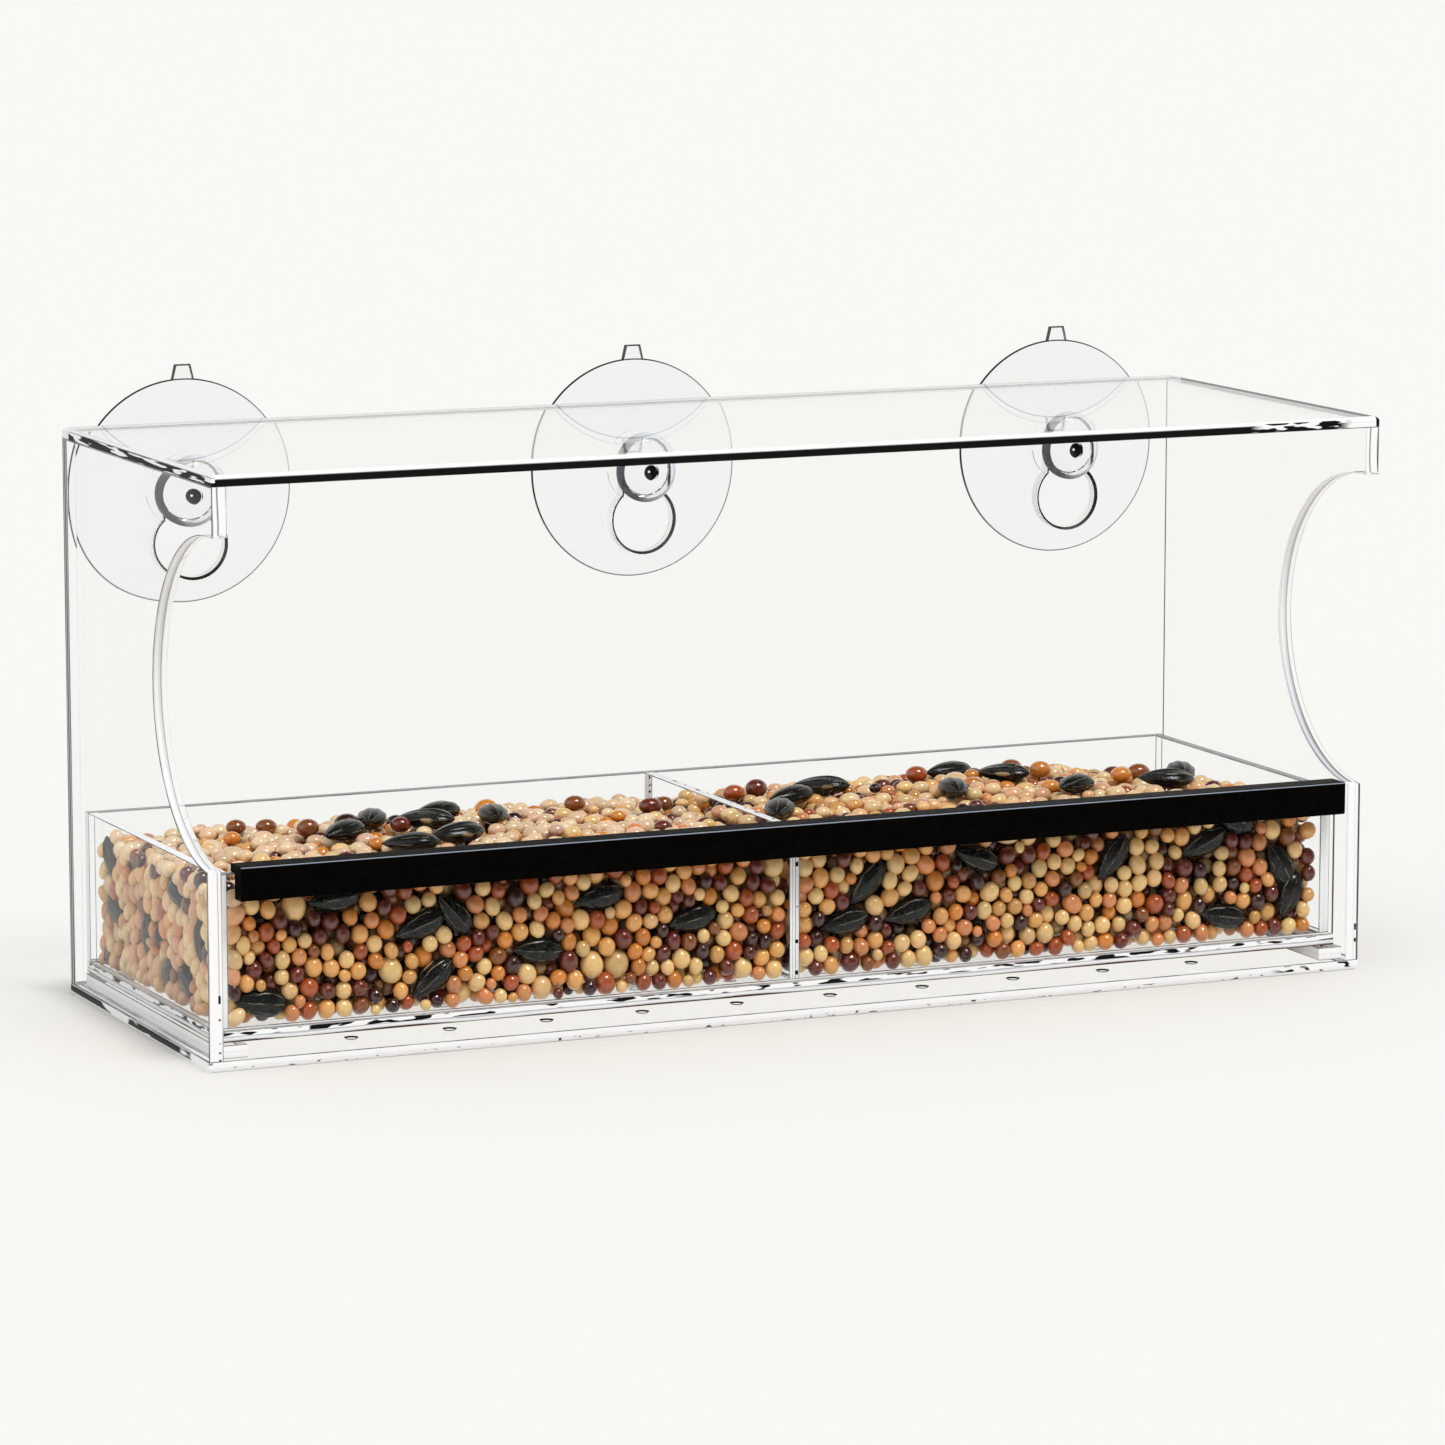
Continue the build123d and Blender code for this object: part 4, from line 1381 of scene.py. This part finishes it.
def sunflower_hull(name):
    """A striped sunflower seed's black hull: ridges, a few thin pale stripes and a shine."""
    paint = Paint(name)
    local = paint.attribute("seed_local", "Vector")
    place = paint.split(local)
    half_width, half_thickness = (float(size) for size in sunflower_half[1:])
    turn = paint.math("ARCTAN2", paint.times(place["Z"], half_width / half_thickness), place["Y"])
    wander = paint.noise(260.0, 3.0, 0.6, vector=local)
    wave = paint.math("SINE", paint.math("ADD", paint.times(turn, 8.0), paint.times(wander, 3.5)))
    grain = paint.noise(1400.0, 4.0, 0.7)
    tone = paint.ramp(grain, (0.35, (0.003, 0.0032, 0.003)), (0.75, (0.016, 0.017, 0.015)))
    broken = paint.spread(paint.noise(300.0), 0.0, 1.0, 0.44, 0.56)
    tone = paint.mix(paint.times(paint.spread(wave, 0.0, 0.6, 0.95, 1.0), broken), tone, (0.42, 0.34, 0.22))
    width = paint.math("ABSOLUTE", place["Y"])
    rim = paint.spread(width, 0.0, 0.8, half_width * 0.93, half_width * 0.98)
    worn = paint.times(rim, paint.spread(paint.noise(110.0), 0.0, 1.0, 0.52, 0.60))
    tone = paint.mix(worn, tone, (0.50, 0.35, 0.18))
    paint.set(Base_Color=tone, IOR=1.4, Roughness=paint.spread(grain, 0.16, 0.34))
    paint.bump(wave, 0.35, 0.00015)
    return paint.material


def draw_seeds(volume):
    """The kind and the radius of each seed of a mix that fills the volume."""
    kind_shares = np.array([share for share, colour in seed_kinds.values()])
    size_shares = np.array([share for share, low, high in seed_sizes])
    count = int(2 * volume * seed_fill_share / usual_seed**3)
    kinds = rng.choice(len(kind_shares), count, p=kind_shares / kind_shares.sum())
    sizes = rng.choice(len(size_shares), count, p=size_shares / size_shares.sum())
    low, high = np.array([(low, high) for share, low, high in seed_sizes])[sizes].T
    radii = (low + (high - low) * rng.random(count)) / 2
    kinds[sizes == len(seed_sizes) - 1] = list(seed_kinds).index("cream")
    enough = np.cumsum(4 / 3 * math.pi * radii**3) < volume * seed_fill_share
    return kinds[enough], radii[enough]


def add_crown_seeds(side, points, radii, kinds, depth):
    """The larger seeds laid on the heap, in place of the ones that they would cut into."""
    names = list(seed_kinds)
    middles, sizes, colours = [], [], []
    for x, y, size, kind in crown_seeds[side]:
        radius = size * MM / 2
        place = np.array([[x * MM, y * MM, 0.0]])
        place[0, 2] = crown(side, place)[0] + radius * crown_seed_rise
        keep = np.linalg.norm(points - place, axis=1) > (radius + radii) * crown_seed_share
        points, radii, kinds, depth = points[keep], radii[keep], kinds[keep], depth[keep]
        middles.append(place[0])
        sizes.append(radius)
        colours.append(names.index(kind))
    added = (middles, sizes, colours, np.zeros(len(sizes)))
    return [np.concatenate(pair) for pair in zip((points, radii, kinds, depth), added)]


def packed_seeds(side, blocks):
    """The settled mix of one half: its seeds' places, radii, kinds and depths in the heap."""
    low, high = (np.array(end) for end in seed_boxes[side])
    volume = (high[0] - low[0]) * (high[1] - low[1]) * (high[2] - crown_sink - low[2])
    low, high = low - wall_room, high + (wall_room, wall_room, crown_room)
    kinds, radii = draw_seeds(volume)
    points = low + (high - low) * rng.random((len(radii), 3))
    rise = rng.uniform(-loose_sink, loose_rise, len(radii))
    points[:, 2] = low[2] + (crown(side, points) - low[2]) * rng.random(len(radii))
    settle_seeds(points, radii, low, high, lambda where: crown(side, where) + rise, blocks)
    depth = np.minimum((points - low).min(1), (high - points)[:, :2].min(1)) - radii
    depth = np.minimum(depth, crown(side, points) - points[:, 2] - radii)
    return add_crown_seeds(side, points, radii, kinds, depth)


def seed_colours(colour, paling, shade):
    """A colour for each seed of a kind: paled by painted light, varied, and darkened by painted shade."""
    light = np.minimum(rng.normal(1.0, light_spread, (len(paling), 1)), most_light)
    vary = light * rng.normal(1.0, hue_spread, (len(paling), 3))
    colours = colour * (1 - paling) + np.array(lit_pale_tone) * paling
    return np.clip(colours * vary * shade, darkest, lightest)


def heap(side):
    """One half's seeds, as one piece for each kind, and its sunflower seeds."""
    resting = [(middle, turn, top_seed_scale) for middle, turn in islands(f"sunflower_seeds_{side}")]
    standing = [(middle, turn, wall_seed_scale) for middle, turn in wall_sunflowers(side)]
    hidden = [(middle, turn, 1.0) for middle, turn in other_sunflowers(side, resting + standing)]
    shown = resting + standing + hidden
    blocks = [(middle, turn, sunflower_half * scale * block_share) for middle, turn, scale in shown]
    points, radii, kinds, depth = packed_seeds(side, blocks)
    turns = upright_turns(len(radii))
    sizes = radii[:, None] * rng.uniform(least_squash_share, most_squash_share, (len(radii), 3))
    on_top = crown(side, points) + loose_rise - points[:, 2] - radii < top_layer
    left_wall = seed_boxes[side][0].x - wall_room
    at_end = points[:, 0] - left_wall - radii < (end_layer if side == "left" else 0)
    turns[on_top], sizes[on_top] = np.eye(3), sizes[on_top] * top_flatness
    sizes[at_end] *= end_stretch
    repaint = (on_top | at_end) & (rng.random(len(radii)) < paler_share[side])
    repaint[-len(crown_seeds[side]):] = False
    kinds[repaint] = rng.choice([list(seed_kinds).index(name) for name in pale_kinds], repaint.sum())
    # Painted light: pale seeds on top and against the left side are paled towards one light colour
    paling = np.where(repaint, lit_paling[side] * np.where(on_top, 1.0, side_lit_paling), 0.0)[:, None]
    inner = (depth >= first_layer) & (depth < deepest_shown)
    # The deeper layer is darkened by inner_shade: painted shade
    layers = ((ball(3), depth < first_layer, 1.0), (ball(2), inner, inner_shade))
    for index, (name, (share, colour)) in enumerate(seed_kinds.items()):
        parts = []
        for shape, chosen, shade in layers:
            mine = (kinds == index) & chosen
            colours = seed_colours(colour, paling[mine], shade)
            parts.append(crowd(shape, points[mine], sizes[mine], turns[mine], colours))
        piece = dress(seed_mesh(f"{name}_seeds_{side}", parts), coat)
        settle(piece, "tray", "seeds", f"seed_mix_{side}")
    middles, turns, scales = (np.array(values) for values in zip(*shown))
    scales = scales[:, None] * rng.uniform(0.92, 1.0, (len(shown), 3))
    piece = dress(seed_mesh(f"striped_seeds_{side}", [crowd(hull(), middles, scales, turns)]), striped)
    settle(piece, "tray", "sunflower_hulls", f"sunflower_seeds_{side}")


coat = seed_coat("glossy_seed_coat")
striped = sunflower_hull("striped_sunflower_hull")
for side in ("left", "right"):
    heap(side)


# Stage, lights and camera

def pale_floor():
    """A wide pale floor, which carries the object's shadow; gloss and glass see its plain colour."""
    half = floor_size / 2
    corners = rectangle((-half, -half), (half, half))
    piece = make_mesh("floor", [(x, y, -floor_gap) for x, y in corners], [(0, 1, 2, 3)])
    paint = Paint("pale_floor")
    paint.set(Base_Color=backdrop_colour, Roughness=0.9, Specular_IOR_Level=0.0)
    paint.show_instead(paint.add("Emission", {"Color": backdrop_colour}), "Glossy", "Transmission")
    dress(piece, paint.material)


def studio_world():
    """Even soft light on matt surfaces; sight, gloss and glass meet the backdrop, darker overhead.

    Gloss meets a dark room in front of the object, where a studio's backdrop ends.
    """
    world = bpy.data.worlds.new("studio")
    bpy.context.scene.world = world
    world.use_nodes = True
    sky = Tree(world.node_tree)
    way = sky.split(sky.add("TexCoord").outputs["Generated"])
    backdrop = sky.ramp(way["Z"], (0.42, backdrop_colour), (0.75, (0.02, 0.02, 0.022)))
    ahead = sky.times(sky.spread(way["Y"], 0.0, 1.0, -0.25, -0.60), sky.rays("Glossy"))
    seen = sky.add("Background", {"Color": sky.mix(ahead, backdrop, (0.05, 0.05, 0.052))})
    ambient = sky.add("Background", {"Strength": ambient_strength})
    sight = sky.rays("Camera", "Glossy", "Transmission")
    sky.add("OutputWorld", {"Surface": sky.mix_shaders(sight, ambient, seen)})


def soft_lamps():
    """A broad lamp from above and behind the camera's right, and a broader, weaker one from the left."""
    for name, (strength, spread, lean, turn) in lamps.items():
        light = bpy.data.lights.new(name, "SUN")
        light.energy = strength
        light.angle = math.radians(spread)
        add_object(name, light).rotation_euler = (math.radians(lean), 0, math.radians(turn))


def photo_camera():
    """The camera of the photograph."""
    lens = bpy.data.cameras.new("camera")
    lens.lens = camera_lens
    lens.sensor_width = sensor_width
    lens.clip_end = far_clip
    camera = add_object("camera", lens)
    turn, lift = camera_turn, camera_lift
    right = Vector((math.cos(turn), math.sin(turn), 0))
    back = Vector((math.sin(turn) * math.cos(lift), -math.cos(turn) * math.cos(lift), math.sin(lift)))
    up = back.cross(right)
    spin = Matrix((right, up, back)).transposed()
    camera.matrix_world = Matrix.Translation(camera_place) @ spin.to_4x4()
    bpy.context.scene.camera = camera


pale_floor()
studio_world()
soft_lamps()
photo_camera()
bpy.context.scene.view_settings.view_transform = "Standard"
